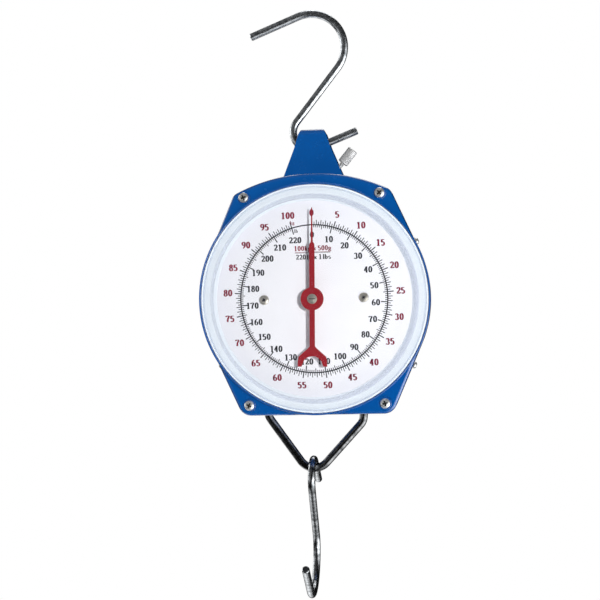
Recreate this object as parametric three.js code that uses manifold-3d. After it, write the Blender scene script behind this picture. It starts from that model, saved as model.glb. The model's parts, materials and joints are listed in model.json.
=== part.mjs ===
// A hanging spring scale with a round dial: top hook, blue case, bail and lower hook.
// Millimetres, +Z up. The dial faces -Y, and +X is to the right of someone who reads it.
// The origin is where the scale hangs: the inner top of the top hook's large bend.
import * as THREE from 'three';
import { mergeVertices } from 'three/addons/utils/BufferGeometryUtils.js';
import Module from 'manifold-3d';

const wasm = await Module();
wasm.setup();

// ---- Driving dimensions ------------------------------------------------------------------
const GAP = 0.3; // between pieces that touch
const SHEET = 1.5; // case steel

// Both hooks are bent from the same wire over the same two formers.
const HOOK_WIRE = 3.5; // radius
const LARGE_BEND = 30.4;
const SMALL_BEND = 15.2;
const SMALL_BEND_X = -2.4; // from the large bend's centre
const SMALL_BEND_DROP = 75.1;
const TIP_LENGTH = 46.2;
const END_LENGTH = 39.3;
const TOP_HOOK = { tipFall: 20.6, endRise: 20.4 }; // degrees from level
const LOWER_HOOK = { tipFall: 35.6, endRise: 32 };

// Heights below are measured from the dial's centre, which the case group carries.
const DIAL_CENTRE_Z = HOOK_WIRE - LARGE_BEND - 224.4;
const HANGER_PIN_Z = 142.4;
const HANGER_PIN_RADIUS = 4;

// Case outline: an arched top, two flared shoulders, round sides and a flat bottom.
const CASE_MIDDLE_Z = -1;
const CASE_SIDE_RADIUS = 101.4;
const SIDE_SLOPE = 24; // degrees that the straight sides lean in
const TOP_ARCH_RADIUS = 152;
const TOP_ARCH_Z = 109.8;
const CASE_BOTTOM_Z = -101.8;
const SHOULDER_RADIUS = 9;
const FOOT_RADIUS = 12;
const CASE_FRONT_Y = -28;
const FRONT_SKIRT_Y = -3; // back edge of the front shell
const REAR_SKIRT_Y = -18; // front edge of the rear shell, tucked inside the front one
const CASE_BACK_Y = 27;
const REAR_INSET = 1.9;

// Lens, dial and pointer
const LENS_RADIUS = 99.8;
const LENS_WALL_RADIUS = 91.7;
const LENS_TOP_RADIUS = 87.5;
const LENS_FRONT_Y = -46.5;
const FLANGE_Y = -30.8;
const LIP_OUTER_RADIUS = 101.6;
const LIP_INNER_RADIUS = 100.2;
const LIP_Y = -32.2;
const DIAL_RADIUS = 85.3;
const DIAL_Y = -28.8;
const POINTER_Y = -41.8;
const POINTER_REST = 1.3; // degrees clockwise from the case's own vertical

// Screws
const CORNER_SCREW_X = 59.7;
const CORNER_SCREW_Z = [90.4, -92.4];
const SIDE_SCREWS = [
  { name: 'upper_left', sign: -1, z: 51.5 },
  { name: 'upper_right', sign: 1, z: 47.5 },
  { name: 'lower_left', sign: -1, z: -57 },
  { name: 'lower_right', sign: 1, z: -60 },
];
const SIDE_SCREW_Y = -13.5;
const DIAL_SCREW_X = 43.8;

// Spring suspension
const SPRING_X = 22;
const SPRING_RADIUS = 13;
const SPRING_BORE = 9;
const SPRING_TOP_Z = 68.5;
const SPRING_BOTTOM_Z = 13.5;
const BEAM_PIN = [-23, 83];
const YOKE_PIVOT_Z = -41;
const YOKE_LEAN = 4; // degrees, the bail hangs a little to the left
const BAIL_WIRE = 3.7; // radius
const BAIL_HALF_WIDTH = 43;
const BAIL_CORNER_Z = -66.8; // from the yoke pivot, where the legs and the V would meet
const BAIL_POINT_Z = -119.9; // from the yoke pivot, where the two sides of the V would meet
const BAIL_CORNER_BEND = 12;
const BAIL_APEX_BEND = 15;
const BAIL_HALF_ANGLE = Math.atan2(BAIL_HALF_WIDTH, BAIL_CORNER_Z - BAIL_POINT_Z);
const BAIL_APEX_Z = BAIL_POINT_Z + BAIL_APEX_BEND * (1 / Math.sin(BAIL_HALF_ANGLE) - 1);
const LOWER_HOOK_LEAN = 1.9; // degrees from the case's own vertical
const LOWER_HOOK_HANG = 1.5; // degrees that the hook hangs forward

// Zero adjuster: its axis leans to the right from the middle of the neck.
const ZERO_LEAN = 40.5; // degrees
const ZERO_KNOB_FOOT = [25.8, 120]; // x and z
const ZERO_KNOB_RADIUS = 4.7;
const ZERO_KNOB_LENGTH = 15.2;

// Rack and pinion
const TEETH = 12;
const PINION_PITCH_RADIUS = 4.8;
const PRESSURE_ANGLE = THREE.MathUtils.degToRad(20);
const RACK_ADDENDUM = 0.55;
const RACK_DEDENDUM = 0.95;
const PINION_ADDENDUM = 0.7;
const TOOTH_BACKLASH = 0.24;

// ---- Materials ---------------------------------------------------------------------------
function material(color, roughness, metalness) {
  return new THREE.MeshStandardMaterial({ color, roughness, metalness });
}

const BLUE_ENAMEL = () => material(0x0b56a8, 0.25, 0.0);
const WHITE_ENAMEL = () => material(0xf2f2f6, 0.45, 0.0);
const RED_ENAMEL = () => material(0xa81520, 0.35, 0.0);
const ZINC_STEEL = () => material(0xb9bdc1, 0.3, 1.0);
const DARK_STEEL = () => material(0x6d7074, 0.45, 1.0);
const NICKEL = () => material(0xd4d0c4, 0.22, 1.0);
const BRASS = () => material(0xc9a24e, 0.3, 1.0);
const SPRING_STEEL = () => material(0x55585c, 0.4, 1.0);
const ALUMINIUM = () => material(0xd9dadd, 0.35, 1.0);
const CLEAR_PLASTIC = () => new THREE.MeshStandardMaterial({
  color: 0xf4f8fb,
  roughness: 0.08,
  metalness: 0.0,
  transparent: true,
  opacity: 0.3,
});

// ---- Geometry helpers --------------------------------------------------------------------
const radians = THREE.MathUtils.degToRad;

function toSolid(geometry) {
  const bare = geometry.clone();
  bare.deleteAttribute('normal');
  bare.deleteAttribute('uv');
  const merged = mergeVertices(bare, 1e-4);
  return new wasm.Manifold(new wasm.Mesh({
    numProp: 3,
    vertProperties: new Float32Array(merged.attributes.position.array),
    triVerts: new Uint32Array(merged.index.array),
  }));
}

function toGeometry(solid) {
  const mesh = solid.getMesh();
  const geometry = new THREE.BufferGeometry();
  geometry.setAttribute('position', new THREE.BufferAttribute(mesh.vertProperties, 3));
  geometry.setIndex(new THREE.BufferAttribute(mesh.triVerts, 1));
  geometry.computeVertexNormals();
  return geometry;
}

function cut(base, ...tools) {
  let solid = toSolid(base);
  for (const tool of tools) {
    solid = solid.subtract(toSolid(tool));
  }
  return toGeometry(solid);
}

function join(base, ...others) {
  let solid = toSolid(base);
  for (const other of others) {
    solid = solid.add(toSolid(other));
  }
  return toGeometry(solid);
}

function overlapOf(first, second) {
  return toGeometry(toSolid(first).intersect(toSolid(second)));
}

function mesh(name, geometry, look) {
  const made = new THREE.Mesh(geometry, look);
  made.name = name;
  return made;
}

function arc(x, z, radius, startDegrees, endDegrees, steps) {
  const points = [];
  for (let i = 0; i <= steps; i += 1) {
    const angle = radians(startDegrees + ((endDegrees - startDegrees) * i) / steps);
    points.push(new THREE.Vector2(x + radius * Math.cos(angle), z + radius * Math.sin(angle)));
  }
  return points;
}

function corners(list) {
  return list.map(([x, z]) => new THREE.Vector2(x, z));
}

// A plate whose outline is drawn in X and Z, from yFront to yBack. A bevel breaks both faces.
function plate(outline, yFront, yBack, bevel = 0) {
  const geometry = new THREE.ExtrudeGeometry(new THREE.Shape(outline), {
    depth: yBack - yFront - 2 * bevel,
    bevelEnabled: bevel > 0,
    bevelThickness: bevel,
    bevelSize: bevel,
    bevelOffset: -bevel,
    bevelSegments: 2,
  });
  geometry.rotateX(Math.PI / 2);
  geometry.translate(0, yBack - bevel, 0);
  return geometry;
}

// A bar whose outline is drawn in Y and Z, from xStart to xEnd
function bar(outline, xStart, xEnd) {
  const geometry = new THREE.ExtrudeGeometry(new THREE.Shape(outline), {
    depth: xEnd - xStart,
    bevelEnabled: false,
  });
  const turned = new THREE.Matrix4().makeBasis(
    new THREE.Vector3(0, 1, 0),
    new THREE.Vector3(0, 0, 1),
    new THREE.Vector3(1, 0, 0),
  );
  geometry.applyMatrix4(turned);
  geometry.translate(xStart, 0, 0);
  return geometry;
}

function block(xRange, yRange, zRange) {
  const [x0, x1] = xRange;
  const [y0, y1] = yRange;
  const [z0, z1] = zRange;
  const geometry = new THREE.BoxGeometry(x1 - x0, y1 - y0, z1 - z0);
  geometry.translate((x0 + x1) / 2, (y0 + y1) / 2, (z0 + z1) / 2);
  return geometry;
}

// A round rod along Y
function rod(radius, x, z, yFront, yBack, sides = 16) {
  const geometry = new THREE.CylinderGeometry(radius, radius, yBack - yFront, sides);
  geometry.translate(x, (yFront + yBack) / 2, z);
  return geometry;
}

// A solid turned about the Y axis. The profile is a list of [radius, y] from front to back.
function turned(profile, sides = 16) {
  return new THREE.LatheGeometry(corners(profile), sides);
}

// A turned ring: a rectangle in radius and y that closes on itself
function ring(inner, outer, yFront, yBack, sides) {
  return turned([[inner, yFront], [outer, yFront], [outer, yBack], [inner, yBack], [inner, yFront]], sides);
}

// The centre line of a bent wire: straight runs between the points that it is given
class BentWire extends THREE.Curve {
  constructor(points) {
    super();
    this.points = points;
  }

  getPoint(t, target = new THREE.Vector3()) {
    const last = this.points.length - 1;
    const place = Math.min(Math.max(t, 0), 1) * last;
    const index = Math.min(Math.floor(place), last - 1);
    return target.lerpVectors(this.points[index], this.points[index + 1], place - index);
  }

  getUtoTmapping(u) {
    return u;
  }
}

function wire(points, radius, sides) {
  const section = new THREE.Shape(arc(0, 0, radius, 0, 360 - 360 / sides, sides - 1));
  return new THREE.ExtrudeGeometry(section, {
    steps: points.length - 1,
    extrudePath: new BentWire(points),
  });
}

// ---- Hooks -------------------------------------------------------------------------------
// The wire's centre line in its own plane. The large bend's centre is at 0, 0, its opening is
// to the left, and the small bend is below.
function hookLine({ tipFall, endRise }) {
  const toSmall = Math.atan2(-SMALL_BEND_DROP, SMALL_BEND_X);
  const reach = Math.hypot(SMALL_BEND_X, SMALL_BEND_DROP);
  const crossing = toSmall + Math.acos((LARGE_BEND + SMALL_BEND) / reach);
  const crossingDegrees = THREE.MathUtils.radToDeg(crossing);
  const large = arc(0, 0, LARGE_BEND, 90 + tipFall, crossingDegrees, 12);
  const small = arc(
    SMALL_BEND_X,
    -SMALL_BEND_DROP,
    SMALL_BEND,
    crossingDegrees + 180,
    270 + endRise,
    10,
  );
  const tipDirection = new THREE.Vector2(-Math.cos(radians(tipFall)), -Math.sin(radians(tipFall)));
  const endDirection = new THREE.Vector2(Math.cos(radians(endRise)), Math.sin(radians(endRise)));
  const tip = large[0].clone().addScaledVector(tipDirection, TIP_LENGTH);
  const end = small.at(-1).clone().addScaledVector(endDirection, END_LENGTH);
  return [tip, ...large, ...small, end];
}

function makeTopHook() {
  const centreZ = HOOK_WIRE - LARGE_BEND;
  const points = hookLine(TOP_HOOK).map((p) => new THREE.Vector3(p.x, 0, p.y + centreZ));
  return mesh('top_hook', wire(points, HOOK_WIRE, 10), ZINC_STEEL());
}

// The lower hook lies in the YZ plane, upside down, with its tip to the front. Its own origin
// is the middle of the bail wire that its small bend hangs on.
function makeLowerHook() {
  const seat = BAIL_WIRE + GAP + HOOK_WIRE - SMALL_BEND;
  const points = hookLine(LOWER_HOOK).map(
    (p) => new THREE.Vector3(0, p.x - SMALL_BEND_X, seat - (p.y + SMALL_BEND_DROP)),
  );
  return mesh('lower_hook', wire(points, HOOK_WIRE, 10), ZINC_STEEL());
}

// ---- Case --------------------------------------------------------------------------------
function caseOutline(inset) {
  const side = CASE_SIDE_RADIUS - inset;
  const slope = radians(SIDE_SLOPE);
  const archRadius = TOP_ARCH_RADIUS - inset;
  const archCentreZ = TOP_ARCH_Z - TOP_ARCH_RADIUS;
  const bottom = CASE_BOTTOM_Z + inset;

  const foot = FOOT_RADIUS - inset;
  const footZ = bottom + foot;
  const footX = (side - foot + (footZ - CASE_MIDDLE_Z) * Math.sin(slope)) / Math.cos(slope);

  // The shoulder's centre slides along a line beside the straight side until it is as far
  // inside the arch as its own radius.
  const shoulder = SHOULDER_RADIUS - inset;
  const lineX = (side - shoulder) * Math.cos(slope);
  const lineZ = CASE_MIDDLE_Z + (side - shoulder) * Math.sin(slope);
  const dz = lineZ - archCentreZ;
  const half = dz * Math.cos(slope) - lineX * Math.sin(slope);
  const rest = lineX * lineX + dz * dz - (archRadius - shoulder) ** 2;
  const along = -half + Math.sqrt(half * half - rest);
  const shoulderX = lineX - along * Math.sin(slope);
  const shoulderZ = lineZ + along * Math.cos(slope);
  const archEnd = THREE.MathUtils.radToDeg(Math.atan2(shoulderZ - archCentreZ, shoulderX));

  return [
    ...arc(footX, footZ, foot, -90, -SIDE_SLOPE, 5),
    ...arc(0, CASE_MIDDLE_Z, side, -SIDE_SLOPE + 0.5, SIDE_SLOPE - 0.5, 8),
    ...arc(shoulderX, shoulderZ, shoulder, SIDE_SLOPE, archEnd, 4),
    ...arc(0, archCentreZ, archRadius, archEnd + 0.5, 179.5 - archEnd, 10),
    ...arc(-shoulderX, shoulderZ, shoulder, 180 - archEnd, 180 - SIDE_SLOPE, 4),
    ...arc(0, CASE_MIDDLE_Z, side, 180.5 - SIDE_SLOPE, 179.5 + SIDE_SLOPE, 8),
    ...arc(-footX, footZ, foot, 180 + SIDE_SLOPE, 270, 5),
  ];
}

// Slots that let the neck out of the top and the legs of the bail out of the bottom
function caseSlots() {
  return [
    block([-28.6, 28.6], [-9.6, 9.6], [80, 120]),
    block([-52.5, -33.5], [-4.6, 4.6], [-110, -95]),
    block([33.5, 52.5], [-4.6, 4.6], [-110, -95]),
  ];
}

function sideScrewPlaces() {
  const slope = radians(SIDE_SLOPE);
  return SIDE_SCREWS.map(({ name, sign, z }) => {
    const rise = Math.abs(z - CASE_MIDDLE_Z);
    const x = (CASE_SIDE_RADIUS - rise * Math.sin(slope)) / Math.cos(slope);
    const outward = new THREE.Vector3(sign * Math.cos(slope), 0, Math.sign(z) * Math.sin(slope));
    return { name, x: sign * x, z, outward };
  });
}

// Lays a turned piece, whose front is at -Y, along the outward direction at a place.
function placeOutward(geometry, place) {
  const turn = new THREE.Quaternion().setFromUnitVectors(new THREE.Vector3(0, -1, 0), place.outward);
  geometry.applyQuaternion(turn);
  geometry.translate(place.x, SIDE_SCREW_Y, place.z);
  return geometry;
}

function sideScrewHoles() {
  return sideScrewPlaces().map((place) => placeOutward(rod(1.8, 0, 0, -6, 8, 10), place));
}

function makeFrontShell() {
  const deep = plate(caseOutline(0), CASE_FRONT_Y, FRONT_SKIRT_Y + 6, 3);
  const outer = cut(deep, block([-120, 120], [FRONT_SKIRT_Y, 20], [-130, 130]));
  const hollow = plate(caseOutline(SHEET), CASE_FRONT_Y + SHEET, 20, 2.2);
  const recess = rod(LIP_INNER_RADIUS, 0, 0, LIP_Y - 2, CASE_FRONT_Y + SHEET + 0.7, 60);
  const seat = ring(93, LIP_INNER_RADIUS + 0.9, CASE_FRONT_Y + 0.7, CASE_FRONT_Y + 2.2, 60);
  const lip = turned([
    [LIP_INNER_RADIUS, LIP_Y + 0.5],
    [LIP_INNER_RADIUS + 0.4, LIP_Y],
    [LIP_OUTER_RADIUS - 0.5, LIP_Y],
    [LIP_OUTER_RADIUS, LIP_Y + 0.6],
    [LIP_OUTER_RADIUS, CASE_FRONT_Y + 3.5],
    [LIP_INNER_RADIUS, CASE_FRONT_Y + 3.5],
    [LIP_INNER_RADIUS, LIP_Y + 0.5],
  ], 60);
  const cornerHoles = CORNER_SCREW_Z.flatMap((z) => [
    rod(2.3, -CORNER_SCREW_X, z, -40, -20, 12),
    rod(2.3, CORNER_SCREW_X, z, -40, -20, 12),
  ]);
  const shell = join(cut(outer, hollow, recess), seat, lip);
  return mesh('front_shell', cut(shell, ...cornerHoles, ...sideScrewHoles(), ...caseSlots()), BLUE_ENAMEL());
}

function makeRearShell() {
  const deep = plate(caseOutline(REAR_INSET), REAR_SKIRT_Y - 8, CASE_BACK_Y, 4);
  const outer = cut(deep, block([-120, 120], [REAR_SKIRT_Y - 20, REAR_SKIRT_Y], [-130, 130]));
  const hollow = plate(caseOutline(REAR_INSET + SHEET), REAR_SKIRT_Y - 20, CASE_BACK_Y - SHEET, 3);
  return mesh('rear_shell', cut(outer, hollow, ...sideScrewHoles(), ...caseSlots()), BLUE_ENAMEL());
}

// ---- Lens and dial -----------------------------------------------------------------------
function makeLens() {
  const wall = 1.8;
  const profile = [
    [0, LENS_FRONT_Y],
    [LENS_TOP_RADIUS - 2.5, LENS_FRONT_Y],
    [LENS_TOP_RADIUS - 0.7, LENS_FRONT_Y + 0.7],
    [LENS_TOP_RADIUS, LENS_FRONT_Y + 2.5],
    [LENS_WALL_RADIUS, FLANGE_Y],
    [LENS_RADIUS, FLANGE_Y],
    [LENS_RADIUS, FLANGE_Y + 1.5],
    [LENS_WALL_RADIUS - wall, FLANGE_Y + 1.5],
    [LENS_TOP_RADIUS - wall, LENS_FRONT_Y + 2.9],
    [LENS_TOP_RADIUS - wall - 0.9, LENS_FRONT_Y + wall],
    [0, LENS_FRONT_Y + wall],
  ];
  return mesh('lens', turned(profile, 60), CLEAR_PLASTIC());
}

function makeSeatRing() {
  return mesh('lens_seat_ring', ring(86, LENS_RADIUS, DIAL_Y - 0.1, CASE_FRONT_Y + 0.4, 60), WHITE_ENAMEL());
}

function makeDialPlate() {
  const disc = rod(DIAL_RADIUS, 0, 0, DIAL_Y, DIAL_Y + 0.8, 60);
  const holes = [-DIAL_SCREW_X, DIAL_SCREW_X].map((x) => rod(2, x, 0, -40, -20, 12));
  return mesh('dial_plate', cut(disc, rod(3.4, 0, 0, -40, -20, 16), ...holes), WHITE_ENAMEL());
}

// ---- Screws ------------------------------------------------------------------------------
// A domed screw whose head stands in front of y = 0
function screwShape(headRadius, headHeight, shankRadius, shankLength) {
  return turned([
    [0, -headHeight],
    [headRadius * 0.6, -headHeight * 0.9],
    [headRadius, -headHeight * 0.3],
    [headRadius, 0],
    [shankRadius, 0],
    [shankRadius, shankLength],
    [0, shankLength],
  ], 12);
}

function makeScrews() {
  const made = [];
  CORNER_SCREW_Z.forEach((z, row) => {
    [-1, 1].forEach((sign) => {
      const name = `corner_screw_${row === 0 ? 'upper' : 'lower'}_${sign < 0 ? 'left' : 'right'}`;
      const screw = mesh(name, screwShape(4.5, 3, 1.9, 11), ZINC_STEEL());
      screw.position.set(sign * CORNER_SCREW_X, CASE_FRONT_Y - GAP, z);
      made.push(screw);
    });
  });
  sideScrewPlaces().forEach((place) => {
    const shape = screwShape(3.1, 3, 1.4, 5);
    shape.translate(0, -GAP, 0);
    made.push(mesh(`side_screw_${place.name}`, placeOutward(shape, place), DARK_STEEL()));
  });
  [-1, 1].forEach((sign) => {
    const name = `dial_screw_${sign < 0 ? 'left' : 'right'}`;
    const screw = mesh(name, screwShape(4.3, 2.6, 1.5, 6), NICKEL());
    screw.position.set(sign * DIAL_SCREW_X, DIAL_Y - GAP, 0);
    made.push(screw);
  });
  return made;
}

// ---- Neck --------------------------------------------------------------------------------
const STRAP_HALF_DEPTH = 9;
const STRAP_SHEET = 2;
const STRAP_TOP_Z = 150.8;
const STRAP_BOTTOM_Z = 72;

function makeHangerStrap() {
  const outerBend = 5;
  const innerBend = outerBend - STRAP_SHEET;
  const inner = STRAP_HALF_DEPTH - STRAP_SHEET;
  const section = [
    new THREE.Vector2(STRAP_HALF_DEPTH, STRAP_BOTTOM_Z),
    ...arc(STRAP_HALF_DEPTH - outerBend, STRAP_TOP_Z - outerBend, outerBend, 0, 90, 4),
    ...arc(outerBend - STRAP_HALF_DEPTH, STRAP_TOP_Z - outerBend, outerBend, 90, 180, 4),
    new THREE.Vector2(-STRAP_HALF_DEPTH, STRAP_BOTTOM_Z),
    new THREE.Vector2(-inner, STRAP_BOTTOM_Z),
    ...arc(innerBend - inner, STRAP_TOP_Z - outerBend, innerBend, 180, 90, 3),
    ...arc(inner - innerBend, STRAP_TOP_Z - outerBend, innerBend, 90, 0, 3),
    new THREE.Vector2(inner, STRAP_BOTTOM_Z),
  ];
  const front = corners([
    [-27.4, STRAP_BOTTOM_Z - 1],
    [27.4, STRAP_BOTTOM_Z - 1],
    [27.4, 107],
    [16.4, 134],
    [12.4, STRAP_TOP_Z - 4.3],
    [9.6, STRAP_TOP_Z + 1],
    [-9.6, STRAP_TOP_Z + 1],
    [-12.4, STRAP_TOP_Z - 4.3],
    [-16.4, 134],
    [-27.4, 107],
  ]);
  const folded = overlapOf(bar(section, -30, 30), plate(front, -20, 20));
  const strapScrewHoles = [-14, 14].map((x) => rod(2.3, x, 78, 0, 20, 12));
  const pinHole = rod(2.8, BEAM_PIN[0], BEAM_PIN[1], -20, 20, 12);
  return mesh('hanger_strap', cut(folded, pinHole, ...strapScrewHoles), BLUE_ENAMEL());
}

function makeHangerPin() {
  const half = STRAP_HALF_DEPTH - STRAP_SHEET - GAP;
  return mesh('hanger_pin', rod(HANGER_PIN_RADIUS, 0, HANGER_PIN_Z, -half, half, 20), DARK_STEEL());
}

// ---- Chassis -----------------------------------------------------------------------------
const CHASSIS_Y = STRAP_HALF_DEPTH + GAP;
const CHASSIS_SHEET = 2.5;

function makeChassis() {
  const sheet = plate(caseOutline(3.8), CHASSIS_Y, CHASSIS_Y + CHASSIS_SHEET);
  const window = block([-38, 38], [0, 20], [-60, 71]);
  const screwHoles = [-14, 14].map((x) => rod(2.3, x, 78, 0, 20, 12));
  const pinHole = rod(4, BEAM_PIN[0], BEAM_PIN[1], 0, 20, 12);
  const bailSlot = block([-55, 55], [0, 20], [-110, -84]);
  return mesh('chassis_frame', cut(sheet, window, pinHole, bailSlot, ...screwHoles), DARK_STEEL());
}

function makePosts() {
  const made = [];
  const front = CASE_FRONT_Y + SHEET + GAP;
  CORNER_SCREW_Z.forEach((z, row) => {
    [-1, 1].forEach((sign) => {
      const name = `case_post_${row === 0 ? 'upper' : 'lower'}_${sign < 0 ? 'left' : 'right'}`;
      const post = mesh(name, ring(2.1, 2.9, front, CHASSIS_Y - GAP, 12), ZINC_STEEL());
      post.position.set(sign * CORNER_SCREW_X, 0, z);
      made.push(post);
    });
  });
  return made;
}

function makeStrapScrews() {
  return [-1, 1].map((sign) => {
    const shape = screwShape(3.8, 2.4, 1.9, 5.2);
    shape.rotateZ(Math.PI);
    const screw = mesh(`strap_screw_${sign < 0 ? 'left' : 'right'}`, shape, ZINC_STEEL());
    screw.position.set(sign * 14, CHASSIS_Y + CHASSIS_SHEET + GAP, 78);
    return screw;
  });
}

// ---- Movement: plates, bushes and pillars ------------------------------------------------
const MOVEMENT_Y = [-25.9, -24.4];
const BRIDGE_Y = [-15.6, -14.2];

function makeMovementPlate() {
  const sheet = block([-50, 50], MOVEMENT_Y, [-9, 9]);
  const holes = [-DIAL_SCREW_X, DIAL_SCREW_X].map((x) => rod(1.9, x, 0, -40, 0, 12));
  return mesh('movement_plate', cut(sheet, rod(3.4, 0, 0, -40, 0, 16), ...holes), ZINC_STEEL());
}

function makeBridge() {
  const back = block([-20, 20], BRIDGE_Y, [-7, 7]);
  const legs = [[-20, -18], [18, 20]].map((x) => block(x, [MOVEMENT_Y[1] + GAP, BRIDGE_Y[1]], [-7, 7]));
  return mesh('bridge', cut(join(back, ...legs), rod(3.4, 0, 0, -20, 0, 16)), BRASS());
}

function makeBush(name, yRange) {
  return mesh(name, ring(1.8, 3.1, yRange[0] - 0.4, yRange[1] + 0.4, 16), BRASS());
}

function makeDialPillars() {
  return [-1, 1].map((sign) => {
    const pillar = ring(1.8, 3.5, MOVEMENT_Y[1] + GAP, CHASSIS_Y - GAP, 12);
    const made = mesh(`dial_pillar_${sign < 0 ? 'left' : 'right'}`, pillar, ZINC_STEEL());
    made.position.set(sign * DIAL_SCREW_X, 0, 0);
    return made;
  });
}

// ---- Pointer and pinion ------------------------------------------------------------------
function pinionOutline() {
  const tip = PINION_PITCH_RADIUS + PINION_ADDENDUM;
  const root = PINION_PITCH_RADIUS - RACK_ADDENDUM - 0.4;
  const base = PINION_PITCH_RADIUS * Math.cos(PRESSURE_ANGLE);
  const involute = (angle) => Math.tan(angle) - angle;
  const pitchHalf = (Math.PI * PINION_PITCH_RADIUS / TEETH - TOOTH_BACKLASH) / 2 / PINION_PITCH_RADIUS;
  const halfAngle = (radius) => {
    const pressure = Math.acos(Math.min(base / radius, 1));
    return pitchHalf + involute(PRESSURE_ANGLE) - involute(pressure);
  };
  const outline = [];
  for (let tooth = 0; tooth < TEETH; tooth += 1) {
    const middle = ((tooth + 0.5) * 2 * Math.PI) / TEETH;
    const flank = [base, PINION_PITCH_RADIUS, tip].map((radius) => [radius, halfAngle(radius)]);
    const rising = [[root, halfAngle(base)], ...flank];
    const points = [
      ...rising.map(([radius, half]) => [radius, middle - half]),
      ...rising.reverse().map(([radius, half]) => [radius, middle + half]),
    ];
    points.forEach(([radius, angle]) => {
      outline.push(new THREE.Vector2(radius * Math.cos(angle), radius * Math.sin(angle)));
    });
  }
  return outline;
}

function makePinion() {
  const gear = plate(pinionOutline(), -22, -17);
  return mesh('pinion', cut(gear, rod(1.7, 0, 0, -30, 0, 16)), BRASS());
}

function makePointerShaft() {
  return mesh('pointer_shaft', rod(1.4, 0, 0, POINTER_Y + 1.4, -13, 16), DARK_STEEL());
}

function makePointerHub() {
  const front = POINTER_Y + 0.8 + GAP;
  return mesh('pointer_hub', ring(1.7, 5, front, front + 7, 24), BRASS());
}

function makeHubScrew() {
  const screw = mesh('hub_screw', screwShape(2.6, 1.1, 1.2, 1), NICKEL());
  screw.position.set(0, POINTER_Y - GAP, 0);
  return screw;
}

// The hub's disc is at 0, 0, the needle points up and the forked tail points down.
function pointerOutline() {
  const stem = 2.3; // half width
  const hub = 10;
  const stemAngle = THREE.MathUtils.radToDeg(Math.asin(stem / hub));
  return [
    ...corners([[0.35, 78.9], [-0.35, 78.9], [-0.8, 50], [-stem, 47]]),
    ...arc(0, 0, hub, 90 + stemAngle, 270 - stemAngle, 12),
    ...corners([[-stem, -41.4], [-12, -50], [-12.9, -58.6], [-9.5, -58.6]]),
    ...arc(0, -58.6, 9, 170, 10, 8),
    ...corners([[9.5, -58.6], [12.9, -58.6], [12, -50], [stem, -41.4]]),
    ...arc(0, 0, hub, stemAngle - 90, 90 - stemAngle, 12),
    ...corners([[stem, 47], [0.8, 50]]),
  ];
}

function makePointer() {
  const blade = plate(pointerOutline(), POINTER_Y, POINTER_Y + 0.8);
  blade.rotateY(radians(POINTER_REST));
  return mesh('pointer', cut(blade, rod(1.7, 0, 0, -60, 0, 16)), RED_ENAMEL());
}

// ---- Springs and beam --------------------------------------------------------------------
function zTurned(profile, sides) {
  const geometry = turned(profile.map(([radius, z]) => [radius, -z]), sides);
  geometry.rotateX(-Math.PI / 2);
  return geometry;
}

function makeSpring(name, x) {
  const profile = [
    [SPRING_BORE, SPRING_TOP_Z],
    [SPRING_RADIUS, SPRING_TOP_Z],
    [SPRING_RADIUS, SPRING_BOTTOM_Z],
    [SPRING_BORE, SPRING_BOTTOM_Z],
    [SPRING_BORE, SPRING_TOP_Z],
  ];
  const spring = mesh(name, zTurned(profile, 20), SPRING_STEEL());
  spring.position.set(x, 0, 0);
  return spring;
}

// A plug screwed into the end of a spring. inside and outside are the two ends of the plug.
function makePlug(name, x, inside, mouth, outside) {
  const plugRadius = SPRING_BORE - GAP;
  const neckRadius = 5;
  const profile = [[0, inside], [plugRadius, inside], [plugRadius, mouth], [neckRadius, mouth], [neckRadius, outside], [0, outside]];
  const ordered = inside > outside ? profile : profile.reverse();
  const plug = mesh(name, zTurned(ordered, 16), ZINC_STEEL());
  plug.position.set(x, 0, 0);
  return plug;
}

const BEAM_Z = [78, 88];
const BARREL_Z = 92;

function zeroAxisPoint(distance) {
  const lean = radians(ZERO_LEAN);
  return [
    ZERO_KNOB_FOOT[0] - distance * Math.sin(lean),
    ZERO_KNOB_FOOT[1] - distance * Math.cos(lean),
  ];
}

// Lays a piece that was made along Z, from its own zero upwards, on the zero adjuster's axis.
function alongZeroAxis(geometry, distance) {
  const [x, z] = zeroAxisPoint(distance);
  geometry.rotateY(radians(ZERO_LEAN));
  geometry.translate(x, 0, z);
  return geometry;
}

function barrelDistance() {
  return (ZERO_KNOB_FOOT[1] - BARREL_Z) / Math.cos(radians(ZERO_LEAN));
}

function zRod(radius, length, sides) {
  return zTurned([[0, length], [radius, length], [radius, 0], [0, 0]], sides);
}

function makeSpringBeam() {
  const [barrelX] = zeroAxisPoint(barrelDistance());
  const beam = block([-34, 34], [-6, 6], BEAM_Z);
  const lobe = block([barrelX - 8, barrelX + 8], [-6, 6], [BEAM_Z[1] - 1, BARREL_Z + 6]);
  const barrelHole = rod(5, barrelX, BARREL_Z, -10, 10, 20);
  const screwWay = alongZeroAxis(zRod(3.6, 40, 12), barrelDistance() + 14);
  const pinHole = rod(2.8, BEAM_PIN[0], BEAM_PIN[1], -10, 10, 16);
  return mesh('spring_beam', cut(join(beam, lobe), barrelHole, screwWay, pinHole), ZINC_STEEL());
}

function makeBeamPin() {
  const half = STRAP_HALF_DEPTH + 1;
  return mesh('beam_pin', rod(2.5, BEAM_PIN[0], BEAM_PIN[1], -half, half, 16), DARK_STEEL());
}

function makeZeroBarrel() {
  const [barrelX] = zeroAxisPoint(barrelDistance());
  const barrel = rod(4.7, barrelX, BARREL_Z, -5.5, 5.5, 20);
  const screwWay = alongZeroAxis(zRod(2.5, 30, 12), barrelDistance() + 10);
  return mesh('zero_barrel', cut(barrel, screwWay), BRASS());
}

function makeZeroBush() {
  const length = 8;
  const bush = alongZeroAxis(zTurned([[2.5, length], [6.4, length], [6.4, 0], [2.5, 0], [2.5, length]], 16), 17);
  return mesh('zero_bush', bush, BRASS());
}

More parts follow.
